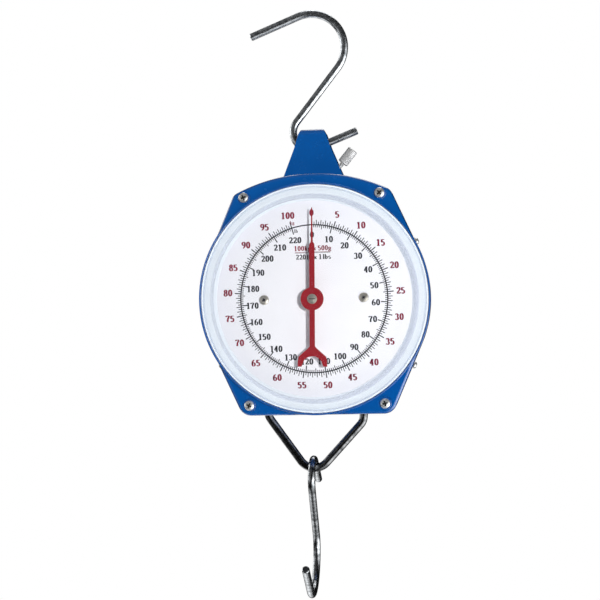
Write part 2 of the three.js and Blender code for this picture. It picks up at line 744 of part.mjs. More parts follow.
function makeZeroScrew() {
  const length = barrelDistance() + 7;
  return mesh('zero_screw', alongZeroAxis(zRod(2.1, length - GAP, 12), length), ZINC_STEEL());
}

function makeZeroKnob() {
  const bevel = 0.5;
  const profile = [
    [0, ZERO_KNOB_LENGTH],
    [ZERO_KNOB_RADIUS - bevel, ZERO_KNOB_LENGTH],
    [ZERO_KNOB_RADIUS, ZERO_KNOB_LENGTH - bevel],
    [ZERO_KNOB_RADIUS, bevel],
    [ZERO_KNOB_RADIUS - bevel, 0],
    [0, 0],
  ];
  return mesh('zero_knob', alongZeroAxis(zTurned(profile, 24), 0), ALUMINIUM());
}

// ---- Carriage and rack -------------------------------------------------------------------
function makeCarriage() {
  const top = block([-31, 31], [-7, 7], [-5, 6]);
  const stem = block([-8, 8], [-2.5, 2.5], [YOKE_PIVOT_Z, 0]);
  const foot = rod(8, 0, YOKE_PIVOT_Z, -2.5, 2.5, 20);
  const pinHole = rod(3.1, 0, YOKE_PIVOT_Z, -10, 10, 16);
  return mesh('carriage', cut(join(top, stem, foot), pinHole), ZINC_STEEL());
}

function makeRack() {
  const pitch = (2 * Math.PI * PINION_PITCH_RADIUS) / TEETH;
  const tip = PINION_PITCH_RADIUS - RACK_ADDENDUM;
  const root = PINION_PITCH_RADIUS + RACK_DEDENDUM;
  const half = (pitch - TOOTH_BACKLASH * 2) / 4;
  const slant = Math.tan(PRESSURE_ANGLE);
  const tipHalf = half - RACK_ADDENDUM * slant;
  const rootHalf = half + RACK_DEDENDUM * slant;
  const outline = [[10.5, -14], [10.5, 37], [root, 37]];
  for (let tooth = 14; tooth >= -2; tooth -= 1) {
    const z = tooth * pitch;
    outline.push([root, z + rootHalf], [tip, z + tipHalf], [tip, z - tipHalf], [root, z - rootHalf]);
  }
  outline.push([root, -8.5], [1, -8.5], [1, -14]);
  const toothed = plate(corners(outline), -21.5, -17.5);
  const arm = block([1, 7], [-18, -2.5 - GAP], [-14, -8.5]);
  return mesh('rack', join(toothed, arm), BRASS());
}

// ---- Yoke and bail, drawn about the yoke's pivot -----------------------------------------
function makeYokeBar() {
  const body = block([-50, 50], [-6, 6], [-5, 5]);
  const slot = block([-10, 10], [-3, 3], [-10, 10]);
  const pinHole = rod(3.1, 0, 0, -10, 10, 16);
  const legHoles = [-BAIL_HALF_WIDTH, BAIL_HALF_WIDTH].map((x) => {
    const hole = new THREE.CylinderGeometry(BAIL_WIRE + GAP, BAIL_WIRE + GAP, 20, 16);
    hole.rotateX(Math.PI / 2);
    hole.translate(x, 0, 0);
    return hole;
  });
  return mesh('yoke_bar', cut(body, slot, pinHole, ...legHoles), ZINC_STEEL());
}

function makeYokePin() {
  return mesh('yoke_pin', rod(2.8, 0, 0, -7.5, 7.5, 16), DARK_STEEL());
}

function makeBailNut(name, x) {
  const nutRadius = 7;
  const height = 6.5;
  const hexagon = zRod(nutRadius, height, 6);
  const hole = zRod(BAIL_WIRE + GAP + 0.1, height + 2, 14);
  hole.translate(0, 0, -1);
  const nut = mesh(name, cut(hexagon, hole), ZINC_STEEL());
  nut.position.set(x, 0, 5 + GAP);
  return nut;
}

function bailLine() {
  const legTop = 14;
  const half = THREE.MathUtils.radToDeg(BAIL_HALF_ANGLE);
  const cornerX = BAIL_HALF_WIDTH - BAIL_CORNER_BEND;
  const cornerZ = BAIL_CORNER_Z + BAIL_CORNER_BEND * Math.tan(BAIL_HALF_ANGLE / 2);
  const right = [
    new THREE.Vector2(BAIL_HALF_WIDTH, legTop),
    ...arc(cornerX, cornerZ, BAIL_CORNER_BEND, 0, -half, 5),
    ...arc(0, BAIL_APEX_Z + BAIL_APEX_BEND, BAIL_APEX_BEND, -half, -90, 6),
  ];
  const left = right.slice(0, -1).reverse().map((p) => new THREE.Vector2(-p.x, p.y));
  return [...right, ...left].map((p) => new THREE.Vector3(p.x, 0, p.y));
}

function makeBail() {
  return mesh('bail', wire(bailLine(), BAIL_WIRE, 10), ZINC_STEEL());
}

// ---- Assembly ----------------------------------------------------------------------------
function group(x, y, z, ...children) {
  const made = new THREE.Group();
  made.position.set(x, y, z);
  made.add(...children);
  return made;
}

function makeMovement() {
  return [
    makeMovementPlate(),
    makeBridge(),
    makeBush('front_bush', MOVEMENT_Y),
    makeBush('rear_bush', BRIDGE_Y),
    ...makeDialPillars(),
    makePinion(),
    makePointerShaft(),
    makePointerHub(),
    makePointer(),
    makeHubScrew(),
  ];
}

function makeSuspension() {
  const sides = [['left', -SPRING_X], ['right', SPRING_X]];
  return [
    makeSpringBeam(),
    makeBeamPin(),
    makeZeroBarrel(),
    makeZeroBush(),
    makeZeroScrew(),
    makeZeroKnob(),
    ...sides.flatMap(([side, x]) => [
      makeSpring(`spring_${side}`, x),
      makePlug(`upper_plug_${side}`, x, SPRING_TOP_Z - 9, SPRING_TOP_Z, BEAM_Z[0] - GAP),
      makePlug(`lower_plug_${side}`, x, SPRING_BOTTOM_Z + 9, SPRING_BOTTOM_Z, 6 + GAP),
    ]),
    makeCarriage(),
    makeRack(),
  ];
}

const lowerHook = group(0, 0, BAIL_APEX_Z, makeLowerHook());
lowerHook.rotation.order = 'YXZ';
lowerHook.rotation.y = radians(LOWER_HOOK_LEAN - YOKE_LEAN);
lowerHook.rotation.x = radians(-LOWER_HOOK_HANG);

const yoke = group(
  0,
  0,
  YOKE_PIVOT_Z,
  makeYokeBar(),
  makeYokePin(),
  makeBailNut('bail_nut_left', -BAIL_HALF_WIDTH),
  makeBailNut('bail_nut_right', BAIL_HALF_WIDTH),
  makeBail(),
  lowerHook,
);
yoke.rotation.y = radians(YOKE_LEAN);

const caseGroup = group(
  0,
  0,
  DIAL_CENTRE_Z,
  makeFrontShell(),
  makeRearShell(),
  makeLens(),
  makeSeatRing(),
  makeDialPlate(),
  ...makeScrews(),
  makeHangerStrap(),
  makeHangerPin(),
  makeChassis(),
  ...makePosts(),
  ...makeStrapScrews(),
  ...makeMovement(),
  ...makeSuspension(),
  yoke,
);

export default group(0, 0, 0, makeTopHook(), caseGroup);
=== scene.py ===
"""The looks of a hanging spring scale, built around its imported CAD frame."""

import json
from math import acos, asin, atan2, ceil, copysign, cos, degrees, dist, hypot, pi, radians, sin, sqrt, tan

import bmesh
import bpy
from mathutils import Matrix, Vector


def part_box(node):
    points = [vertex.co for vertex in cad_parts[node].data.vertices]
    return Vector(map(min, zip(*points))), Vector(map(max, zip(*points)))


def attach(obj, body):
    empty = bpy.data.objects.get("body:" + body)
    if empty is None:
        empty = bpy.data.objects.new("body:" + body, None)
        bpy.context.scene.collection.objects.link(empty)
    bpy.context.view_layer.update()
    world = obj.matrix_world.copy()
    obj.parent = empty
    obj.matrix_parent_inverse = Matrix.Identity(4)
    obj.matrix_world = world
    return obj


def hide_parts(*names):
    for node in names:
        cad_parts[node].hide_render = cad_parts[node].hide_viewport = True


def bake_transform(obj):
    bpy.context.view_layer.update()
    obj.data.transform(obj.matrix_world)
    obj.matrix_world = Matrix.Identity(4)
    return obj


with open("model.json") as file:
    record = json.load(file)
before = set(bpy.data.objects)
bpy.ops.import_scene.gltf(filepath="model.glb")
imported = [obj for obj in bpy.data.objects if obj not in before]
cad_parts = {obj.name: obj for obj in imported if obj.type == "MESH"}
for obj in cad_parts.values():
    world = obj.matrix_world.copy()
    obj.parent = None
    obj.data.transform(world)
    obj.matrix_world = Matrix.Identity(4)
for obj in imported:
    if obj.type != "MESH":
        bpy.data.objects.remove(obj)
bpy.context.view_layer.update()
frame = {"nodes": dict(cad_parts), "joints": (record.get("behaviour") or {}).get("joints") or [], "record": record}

MM = 0.001
scene = bpy.context.scene
FRONT = Vector((0, -1, 0))
UP = Vector((0, 0, 1))


def middle(node):
    """The middle of a CAD node's box, in millimetres."""
    low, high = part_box(node)
    return (low + high) / 2 / MM


def joint(name):
    """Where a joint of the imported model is, in millimetres, and its axis."""
    found = next(j for j in frame["joints"] if j["name"] == name)
    return Vector(found["pos_m"]) / MM, Vector(found["axis"]).normalized()


DIAL = Vector((0, 0, middle("dial_plate").z))  # every case piece is drawn about this point

# Driving sizes in millimetres, the same as the CAD's
CASE_MIDDLE_Z = -1
CASE_SIDE_RADIUS = 101.4
SIDE_SLOPE = 24
TOP_ARCH_RADIUS = 152
TOP_ARCH_Z = 109.8
CASE_BOTTOM_Z = -101.8
SHOULDER_RADIUS = 9
FOOT_RADIUS = 12
SHEET = 1.5
CASE_FRONT_Y = -28
FRONT_SKIRT_Y = -3
CASE_BACK_Y = 27
REAR_SKIRT_Y = -18
REAR_INSET = 1.9
CORNERS = [(-59.7, 90.4), (59.7, 90.4), (-59.7, -92.4), (59.7, -92.4)]
CORNER_NAMES = ("upper_left", "upper_right", "lower_left", "lower_right")
DIAL_SCREW_X = 43.8


# ---- Mesh helpers ----
def add_object(name, data):
    made = bpy.data.objects.new(name, data)
    scene.collection.objects.link(made)
    return made


def add_mesh(name, verts, faces, offset=DIAL):
    """A mesh object from points in millimetres."""
    mesh = bpy.data.meshes.new(name)
    mesh.from_pydata([(Vector(v) + offset) * MM for v in verts], [], faces)
    return add_object(name, mesh)


def add_piece(name, verts, faces, material, body, smooth=35, uvs=None, offset=DIAL):
    """A piece with its material and body. Edges sharper than the angle smooth stay sharp."""
    piece = add_mesh(name, verts, faces, offset)
    if uvs is not None:
        layer = piece.data.uv_layers.new(name="wire")
        for loop in piece.data.loops:
            layer.data[loop.index].uv = uvs[loop.vertex_index]
    finish_piece(piece, material, body, smooth)
    return piece


def finish_piece(piece, material, body, smooth=35):
    """Gives a piece its material and shading. It rides on body, unless body is None."""
    piece.data.materials.clear()
    piece.data.materials.append(material)
    piece.data.shade_smooth()
    piece.data.set_sharp_from_angle(angle=radians(smooth))
    if body:
        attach(piece, body)


def stand_for(node):
    """Hides the CAD node that a piece replaces."""
    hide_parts(node)


def oval(x, z, radius_x, radius_z, start, end, steps=14):
    """Points (x, z) along part of an ellipse, angles in degrees."""
    angles = [radians(start + (end - start) * i / steps) for i in range(steps + 1)]
    return [(x + radius_x * cos(a), z + radius_z * sin(a)) for a in angles]


def arc(x, z, radius, start, end, steps):
    """Points (x, z) along an arc, angles in degrees."""
    return oval(x, z, radius, radius, start, end, steps)


def rounded(inset, y, radius, outward, steps=6):
    """A quarter round from a face at y to the wall: (inset, y) pairs from the face outwards."""
    points = []
    for k in range(steps + 1):
        a = pi / 2 * k / steps
        points.append((inset + radius * (1 - sin(a)), y + outward * radius * (1 - cos(a))))
    return points


def ring_of(centre, side, other, radius, count):
    """Points round a circle in the plane of two directions."""
    angles = [2 * pi * k / count for k in range(count)]
    return [centre + (side * cos(a) + other * sin(a)) * radius for a in angles]


def across(axis):
    """Two directions square to an axis and to each other."""
    side = axis.cross(UP) if abs(axis.dot(UP)) < 0.9 else axis.cross(Vector((1, 0, 0)))
    side.normalize()
    return side, axis.cross(side)


def turned(profile, axis=FRONT, centre=(0, 0, 0), segments=96, ripple=None):
    """Points and faces of a lathe shape. profile is (radius, height along the axis).

    ripple(angle, height) is added to the radius."""
    side, other = across(axis)
    centre = Vector(centre)
    closed = profile[0] == profile[-1]
    rows = profile[:-1] if closed else profile
    verts, rings = [], []
    for radius, height in rows:
        if radius == 0:
            rings.append([len(verts)] * segments)
            verts.append(centre + axis * height)
            continue
        ring = []
        for i in range(segments):
            a = 2 * pi * i / segments
            reach = radius + (ripple(a, height) if ripple else 0)
            ring.append(len(verts))
            verts.append(centre + axis * height + (side * cos(a) + other * sin(a)) * reach)
        rings.append(ring)
    faces = []
    pairs = list(zip(rings, rings[1:])) + ([(rings[-1], rings[0])] if closed else [])
    for low, high in pairs:
        for i in range(segments):
            j = (i + 1) % segments
            corners = []
            for corner in (low[i], low[j], high[j], high[i]):
                if corner not in corners:
                    corners.append(corner)
            if len(corners) > 2:
                faces.append(corners)
    return verts, faces


def stacked(rings):
    """Points and faces of a solid made of matching rings, with a flat end on the first and last."""
    verts = [p for ring in rings for p in ring]
    count = len(rings[0])
    faces = []
    for row in range(len(rings) - 1):
        for i in range(count):
            j = (i + 1) % count
            a, b = row * count + i, row * count + j
            faces.append((a, b, b + count, a + count))
    faces.append(tuple(reversed(range(count))))
    faces.append(tuple(range(len(verts) - count, len(verts))))
    return verts, faces


def plate(outline, front, back, edge=0.0, steps=2):
    """A plate whose outline is in X and Z, with rounded edges front and back."""
    if not edge:
        return stacked([[(x, y, z) for x, z in outline] for y in (front, back)])
    rows = rounded(0, front, edge, 1, steps) + rounded(0, back, edge, -1, steps)[::-1]
    return stacked([[(x, y, z) for x, z in shrunk(outline, inset)] for inset, y in rows])


def shrunk(outline, inset):
    """An outline moved inwards by a small inset."""
    if not inset:
        return outline
    count = len(outline)
    area = sum(outline[i - 1][0] * z - x * outline[i - 1][1] for i, (x, z) in enumerate(outline))
    turn = 1 if area > 0 else -1
    moved = []
    for i, (x, z) in enumerate(outline):
        next_x, next_z = outline[(i + 1) % count]
        before = Vector((x - outline[i - 1][0], z - outline[i - 1][1])).normalized()
        after = Vector((next_x - x, next_z - z)).normalized()
        normal = (Vector((-before.y - after.y, before.x + after.x)) * turn).normalized()
        stretch = 1 / max(0.5, normal.dot(Vector((-after.y, after.x)) * turn))
        moved.append((x + normal.x * inset * stretch, z + normal.y * inset * stretch))
    return moved


def swept(points, normal, radius, sides=20, chamfer=0.6):
    """A round wire with chamfered ends, along points in a plane with that normal.

    Returns points, faces and UVs. The last two faces are the ends."""
    stations = []
    length = 0
    for i, point in enumerate(points):
        ahead = points[min(i + 1, len(points) - 1)]
        behind = points[max(i - 1, 0)]
        length += (point - behind).length
        stations.append((point, (ahead - behind).normalized(), radius, length))
    start, start_way, _, _ = stations[0]
    end, end_way, _, _ = stations[-1]
    stations[0] = (start + start_way * chamfer, start_way, radius, 0)
    stations[-1] = (end - end_way * chamfer, end_way, radius, length)
    stations.insert(0, (start, start_way, radius - chamfer, -chamfer))
    stations.append((end, end_way, radius - chamfer, length + chamfer))
    rings, uvs = [], []
    for point, way, reach, along in stations:
        rings.append(ring_of(point, way.cross(normal), -normal, reach, sides))
        uvs += [(abs(k / sides - 0.5) * 2, along) for k in range(sides)]
    verts, faces = stacked(rings)
    return verts, faces, uvs


def solid(name, shape):
    """A plain mesh object to join or cut with. Its faces are turned outwards."""
    made = add_mesh(name, *shape)
    made.data.validate()
    work = bmesh.new()
    work.from_mesh(made.data)
    bmesh.ops.recalc_face_normals(work, faces=work.faces)
    work.to_mesh(made.data)
    work.free()
    return made


def carved(name, base, steps):
    """Joins or cuts shapes into base, in order. steps are (operation, shape) pairs."""
    made = solid(name, base)
    tools = []
    for operation, shape in steps:
        tool = solid(name + "_tool", shape)
        tools.append(tool)
        modifier = made.modifiers.new("cut", "BOOLEAN")
        modifier.operation = operation
        modifier.solver = "EXACT"
        modifier.object = tool
    bpy.context.view_layer.update()
    graph = bpy.context.evaluated_depsgraph_get()
    mesh = bpy.data.meshes.new_from_object(made.evaluated_get(graph))
    made.modifiers.clear()
    made.data = mesh
    for tool in tools:
        bpy.data.objects.remove(tool)
    return made


def weighted(piece):
    """Keeps large flat faces flat where they meet a small rounded edge."""
    modifier = piece.modifiers.new("weighted", "WEIGHTED_NORMAL")
    modifier.keep_sharp = True
    modifier.weight = 100


def clockwise(verts, angle):
    """Points turned about the dial's middle by an angle in degrees."""
    turn = Matrix.Rotation(radians(angle), 3, "Y")
    return [turn @ Vector(v) for v in verts]


def box_shape(x, y, z):
    """A box between two values along each axis."""
    outline = [(x[0], z[0]), (x[1], z[0]), (x[1], z[1]), (x[0], z[1])]
    return plate(outline, y[0], y[1])


def rod_shape(radius, x, z, front, back, segments=48):
    """A rod that points forwards, between y front and y back."""
    profile = [(0, -back), (radius, -back), (radius, -front), (0, -front)]
    return turned(profile, FRONT, (x, 0, z), segments)


# ---- Materials ----
class Nodes:
    """A node tree, with short calls to add and link its nodes."""

    def __init__(self, owner):
        owner.use_nodes = True
        self.tree = owner.node_tree
        self.tree.nodes.clear()

    def node(self, kind, inputs=(), **settings):
        """Adds a node. inputs are (socket, value) pairs."""
        made = self.tree.nodes.new(kind)
        for key, value in settings.items():
            setattr(made, key, value)
        for socket, value in inputs:
            made.inputs[socket].default_value = value
        return made

    def link(self, source, output, target, socket):
        self.tree.links.new(source.outputs[output], target.inputs[socket])

    def span(self, source, output, start, full, least, most, shape="LINEAR"):
        """Maps source from start..full to least..most."""
        ends = [("From Min", start), ("From Max", full), ("To Min", least), ("To Max", most)]
        ranged = self.node("ShaderNodeMapRange", ends, interpolation_type=shape)
        self.link(source, output, ranged, "Value")
        return ranged


class Material(Nodes):
    """A Principled material with short calls for the nodes that drive it."""

    def __init__(self, name, color, roughness, metallic=0.0, **sockets):
        self.data = bpy.data.materials.new(name)
        super().__init__(self.data)
        output = self.node("ShaderNodeOutputMaterial")
        self.shader = self.node("ShaderNodeBsdfPrincipled")
        self.link(self.shader, "BSDF", output, "Surface")
        self.shader.inputs["Base Color"].default_value = (*color, 1)
        self.shader.inputs["Roughness"].default_value = roughness
        self.shader.inputs["Metallic"].default_value = metallic
        for socket, value in sockets.items():
            self.shader.inputs[socket.replace("_", " ").title()].default_value = value
        self.place = self.node("ShaderNodeTexCoord")

    def noise(self, scale, detail=3.0, stretch=(1, 1, 1), source="Object"):
        """Noise with scale waves to the metre, or to the millimetre along a wire's UVs."""
        mapping = self.node("ShaderNodeMapping", [("Scale", stretch)])
        self.link(self.place, source, mapping, "Vector")
        texture = self.node("ShaderNodeTexNoise", [("Scale", scale), ("Detail", detail)])
        self.link(mapping, "Vector", texture, "Vector")
        return texture

    def ramp(self, source, output, stops):
        """Maps source to colours. stops are (position, colour) pairs."""
        ramp = self.node("ShaderNodeValToRGB")
        elements = ramp.color_ramp.elements
        while len(elements) < len(stops):
            elements.new(0.5)
        for element, (position, color) in zip(elements, stops):
            element.position = position
            element.color = (*color, 1)
        self.link(source, output, ramp, "Fac")
        return ramp

    def vary_color(self, texture, dark, light, low=0.3, high=0.7):
        ramp = self.ramp(texture, "Fac", [(low, dark), (high, light)])
        self.link(ramp, "Color", self.shader, "Base Color")

    def vary_roughness(self, texture, least, most):
        ranged = self.span(texture, "Fac", 0.3, 0.7, least, most)
        self.link(ranged, "Result", self.shader, "Roughness")

    def bump(self, textures, distance=0.0002):
        """Stacks bump from (texture, strength) pairs."""
        before = None
        for texture, strength in textures:
            bump = self.node("ShaderNodeBump", [("Strength", strength), ("Distance", distance)])
            self.link(texture, "Fac", bump, "Height")
            if before:
                self.link(before, "Normal", bump, "Normal")
            before = bump
        self.link(before, "Normal", self.shader, "Normal")


def shade(color, amount):
    """A lighter or darker colour."""
    return tuple(min(1.0, c * amount) for c in color)


def enamel(name, color, roughness=0.28, coat=0.8):
    """Baked gloss enamel: slow colour drift, orange peel, and small dust specks."""
    made = Material(name, color, roughness, coat_weight=coat, coat_roughness=0.06)
    drift = [(0.3, shade(color, 0.94)), (0.7, shade(color, 1.05))]
    base = made.ramp(made.noise(28, 2), "Fac", drift)
    mask = made.ramp(made.noise(900, 1), "Fac", [(0.74, (0, 0, 0)), (0.8, (0.5, 0.5, 0.5))])
    mix = made.node("ShaderNodeMixRGB", [("Color2", (*shade(color, 1.12), 1))])
    made.link(mask, "Color", mix, "Fac")
    made.link(base, "Color", mix, "Color1")
    made.link(mix, "Color", made.shader, "Base Color")
    made.vary_roughness(made.noise(140, 4), roughness * 0.8, roughness * 1.35)
    made.bump([(made.noise(420, 2), 0.02), (made.noise(1500, 2), 0.008)])
    return made.data


def plated(name, color, roughness, grain=900, metallic=1.0):
    """Plated or plain metal: cloudy tone, fine grain and small scratches."""
    made = Material(name, color, roughness, metallic)
    made.vary_color(made.noise(120, 5), shade(color, 0.72), shade(color, 1.12))
    made.vary_roughness(made.noise(300, 4), roughness * 0.7, roughness * 1.4)
    made.bump([(made.noise(grain, 3), 0.12), (made.noise(2600, 2), 0.05)], 0.0001)
    return made.data


def drawn_wire(name, dark, light, roughness, metallic):
    """Plated wire with draw lines along it. Its UVs run once round it, and along in millimetres."""
    made = Material(name, light, roughness, metallic)
    lines = made.noise(5, 4, (3.0, 0.05, 1), "UV")
    blotches = made.noise(1, 4, (2.0, 0.22, 1), "UV")
    made.vary_color(blotches, dark, light, 0.34, 0.62)
    made.vary_roughness(lines, roughness * 0.75, roughness * 1.3)
    made.bump([(lines, 0.014), (made.noise(1800, 2), 0.002)], 0.0001)
    return made.data


def coated(name, color, roughness, drift=0.96, peel=0.04, **sockets):
    """Matt or satin paint, print or plastic with a faint texture."""
    made = Material(name, color, roughness, **sockets)
    made.vary_color(made.noise(35, 3), shade(color, drift), color)
    made.vary_roughness(made.noise(260, 4), roughness * 0.85, roughness * 1.2)
    made.bump([(made.noise(1300, 2), peel)], 0.0001)
    return made.data


# Painted light on the clear lens: blue grey shade down its wall (a faint haze on its face), a dark shadow line at
# the bead's root, a white highlight on the bead
HAZE_AND_WALL_SHADE = (0.40, 0.43, 0.56)
BEAD_ROOT_SHADOW = (0.10, 0.16, 0.28)
BEAD_HIGHLIGHT = (0.90, 0.95, 1.0)
# Distance from the lens's middle in decimetres, how opaque the lens is there, and its colour: a faint haze on the
# face and flange, painted shade down the wall, a painted shadow line at the bead's root, a painted highlight on
# the bead
LENS_HAZE_AND_PAINTED_LIGHT = [
    (0.0, 0.015, HAZE_AND_WALL_SHADE),
    (0.862, 0.02, HAZE_AND_WALL_SHADE),
    (0.874, 0.40, HAZE_AND_WALL_SHADE),
    (0.912, 0.32, HAZE_AND_WALL_SHADE),
    (0.921, 0.05, HAZE_AND_WALL_SHADE),
    (0.965, 0.05, BEAD_ROOT_SHADOW),
    (0.978, 0.20, BEAD_ROOT_SHADOW),
    (0.986, 0.62, BEAD_HIGHLIGHT),
    (0.998, 0.62, BEAD_HIGHLIGHT),
]


def lens_plastic():
    """Clear moulded plastic: nearly invisible on its face, with blue grey painted shade down its wall, a painted
    shadow line at the bead's root and a painted highlight on the bead.
    """
    made = Material("lens_plastic", HAZE_AND_WALL_SHADE, 0.06)
    to_decimetres = [(1, (10, 0, 10)), (2, (0, 0, -10 * DIAL.z * MM))]
    flat = made.node("ShaderNodeVectorMath", to_decimetres, operation="MULTIPLY_ADD")
    made.link(made.place, "Object", flat, 0)
    radius = made.node("ShaderNodeVectorMath", operation="LENGTH")
    made.link(flat, "Vector", radius, 0)
    haze_and_painted_light = made.ramp(radius, "Value", [(at, (amount, amount, amount)) for at, amount, _ in LENS_HAZE_AND_PAINTED_LIGHT])
    haze_and_painted_light_color = made.ramp(radius, "Value", [(at, color) for at, _, color in LENS_HAZE_AND_PAINTED_LIGHT])
    made.link(haze_and_painted_light_color, "Color", made.shader, "Base Color")
    fade = made.span(made.node("ShaderNodeLayerWeight"), "Facing", 0.62, 0.86, 1.0, 0.12)
    alpha = made.node("ShaderNodeMath", operation="MULTIPLY")
    made.link(haze_and_painted_light, "Color", alpha, 0)
    made.link(fade, "Result", alpha, 1)
    made.link(alpha, "Value", made.shader, "Alpha")
    made.vary_roughness(made.noise(60, 3), 0.05, 0.12)
    made.bump([(made.noise(9, 1), 0.01)], 0.0001)
    return made.data


BLUE = enamel("blue_enamel", (0.0003, 0.084, 0.335), 0.22, 1.0)
# Painted shade for the inside of the neck strap
STRAP_INSIDE_SHADE = coated("strap_inside_painted_shade", (0.002, 0.012, 0.030), 0.5)
RED_PAINT = enamel("red_enamel", (0.28, 0.004, 0.009), 0.45, 0.0)
DIAL_WHITE = coated("dial_white", (0.91, 0.912, 0.95), 0.5, 0.97)
SEAL_WHITE = coated("seal_white", (0.82, 0.88, 0.93), 0.45, 0.98)
BLACK_INK = coated("black_ink", (0.014, 0.015, 0.02), 0.55, 0.6, 0.1)
RED_INK = coated("red_ink", (0.25, 0.004, 0.03), 0.55, 0.75, 0.1)
LENS = lens_plastic()
HOOK_WIRE = drawn_wire("hook_wire", (0.25, 0.27, 0.285), (0.64, 0.67, 0.70), 0.28, 0.96)
# Painted shade: a darker copy of the hook wire, for the lower hook
LOWER_HOOK_WIRE_SHADED = drawn_wire("lower_hook_wire", (0.13, 0.14, 0.145), (0.50, 0.52, 0.54), 0.26, 1.0)
BAIL_WIRE = drawn_wire("bail_wire", (0.07, 0.073, 0.076), (0.24, 0.245, 0.25), 0.24, 1.0)
# Dark bare steel for sawn wire ends, also used as painted shade inside screw recesses
CUT_END_AND_RECESS_SHADE = plated("cut_end_and_recess_shade", (0.05, 0.052, 0.055), 0.5, 900, metallic=0.6)
SCREW_ZINC = plated("screw_zinc", (0.82, 0.83, 0.83), 0.26, 1200, metallic=0.72)
NICKEL = plated("nickel", (0.66, 0.63, 0.55), 0.34, 1400, metallic=0.75)
DARK_STEEL = plated("dark_steel", (0.20, 0.205, 0.21), 0.4, 900)
ZINC = plated("zinc", (0.56, 0.57, 0.58), 0.34, 700)
BRASS = plated("brass", (0.66, 0.47, 0.19), 0.3, 1000)
KNOB_METAL = plated("knob_aluminium", (0.68, 0.68, 0.68), 0.5, 1600, metallic=0.45)
SPRING_WIRE = plated("spring_steel", (0.17, 0.175, 0.18), 0.36, 1500)


# ---- Hooks and bail ----
HOOK_RADIUS = 3.36  # a little thinner than the CAD's faceted wire, to stay inside it
HOOK_SEAT_GAP = 0.52  # between the lower hook and the foot of the bail
LARGE_BEND = 30.4
SMALL_BEND = 15.2
SMALL_BEND_X = -2.4
SMALL_BEND_DROP = 75.1
TIP_LENGTH = 46.2
END_LENGTH = 39.3
LOWER_HOOK_HANG = 1.5
LEG_TOP_Z = 14  # of the bail, above the yoke's pivot
WIRE_STEP = 3.0  # longest run between two rings of a wire
YOKE_LEAN = 4
BAIL_RADIUS = 3.7
BAIL_HALF_WIDTH = 43
BAIL_CORNER_Z = -66.8
BAIL_POINT_Z = -119.9
BAIL_CORNER_BEND = 12
BAIL_APEX_BEND = 15


def hook_line(tip_fall, end_rise):
    """The centre line of a hook in its own plane, about its large bend's centre.

    tip_fall and end_rise are the slopes of its two straight ends, in degrees."""
    direction = atan2(-SMALL_BEND_DROP, SMALL_BEND_X)
    reach = hypot(SMALL_BEND_X, SMALL_BEND_DROP)
    crossing = degrees(direction + acos((LARGE_BEND + SMALL_BEND) / reach))
    large = arc(0, 0, LARGE_BEND, 90 + tip_fall, crossing, 60)
    small = arc(SMALL_BEND_X, -SMALL_BEND_DROP, SMALL_BEND, crossing + 180, 270 + end_rise, 40)
    fall, rise = radians(tip_fall), radians(end_rise)
    tip_x, tip_z = large[0]
    end_x, end_z = small[-1]
    tip = (tip_x - TIP_LENGTH * cos(fall), tip_z - TIP_LENGTH * sin(fall))
    end = (end_x + END_LENGTH * cos(rise), end_z + END_LENGTH * sin(rise))
    return spaced([tip, *large, *small, end])


def spaced(points):
    """Adds points so that no straight run is longer than WIRE_STEP."""
    filled = [points[0]]
    for before, after in zip(points, points[1:]):
        parts = max(1, ceil(dist(before, after) / WIRE_STEP))
        for k in range(1, parts + 1):
            filled.append((before[0] + (after[0] - before[0]) * k / parts,
                           before[1] + (after[1] - before[1]) * k / parts))
    return filled


def add_wire(name, points, normal, radius, material, body):
    """A bent wire with darker, sawn ends."""
    verts, faces, uvs = swept(points, normal, radius)
    wire = add_piece(name, verts, faces, material, body, 40, uvs, Vector())
    wire.data.materials.append(CUT_END_AND_RECESS_SHADE)
    for end in wire.data.polygons[-2:]:
        end.material_index = 1
    return wire


def make_top_hook():
    centre_z = HOOK_RADIUS - LARGE_BEND
    points = [Vector((x, 0, z + centre_z)) for x, z in hook_line(20.6, 20.4)]
    hook = add_wire("top_hook_wire", points, Vector((0, 1, 0)), HOOK_RADIUS, HOOK_WIRE, "top_hook")
    stand_for("top_hook")


def make_lower_hook():
    pivot, axis = joint("lower_hook_swing")
    lean = Matrix.Rotation(atan2(-axis.z, axis.x), 3, "Y")
    place = lean @ Matrix.Rotation(radians(-LOWER_HOOK_HANG), 3, "X")
    seat = BAIL_RADIUS + HOOK_SEAT_GAP + HOOK_RADIUS - SMALL_BEND
    points = []
    for x, z in hook_line(35.6, 32):
        points.append(pivot + place @ Vector((0, x - SMALL_BEND_X, seat - (z + SMALL_BEND_DROP))))
    normal = place @ Vector((-1, 0, 0))
    hook = add_wire("lower_hook_wire", points, normal, HOOK_RADIUS, LOWER_HOOK_WIRE_SHADED, "lower_hook")
    stand_for("lower_hook")


def make_bail():
    half = atan2(BAIL_HALF_WIDTH, BAIL_CORNER_Z - BAIL_POINT_Z)
    turn = degrees(half)
    apex_z = BAIL_POINT_Z + BAIL_APEX_BEND / sin(half)
    corner_z = BAIL_CORNER_Z + BAIL_CORNER_BEND * tan(half / 2)
    corner = arc(BAIL_HALF_WIDTH - BAIL_CORNER_BEND, corner_z, BAIL_CORNER_BEND, 0, -turn, 14)
    apex = arc(0, apex_z, BAIL_APEX_BEND, -turn, -90, 16)
    right = [(BAIL_HALF_WIDTH, LEG_TOP_Z), *corner, *apex]
    line = spaced(right + [(-x, z) for x, z in reversed(right[:-1])])
    pivot, _ = joint("yoke_sway")
    lean = Matrix.Rotation(radians(YOKE_LEAN), 3, "Y")
    points = [pivot + lean @ Vector((x, 0, z)) for x, z in line]
    bail = add_wire("bail_wire", points, Vector((0, 1, 0)), BAIL_RADIUS, BAIL_WIRE, "yoke")
    stand_for("bail")


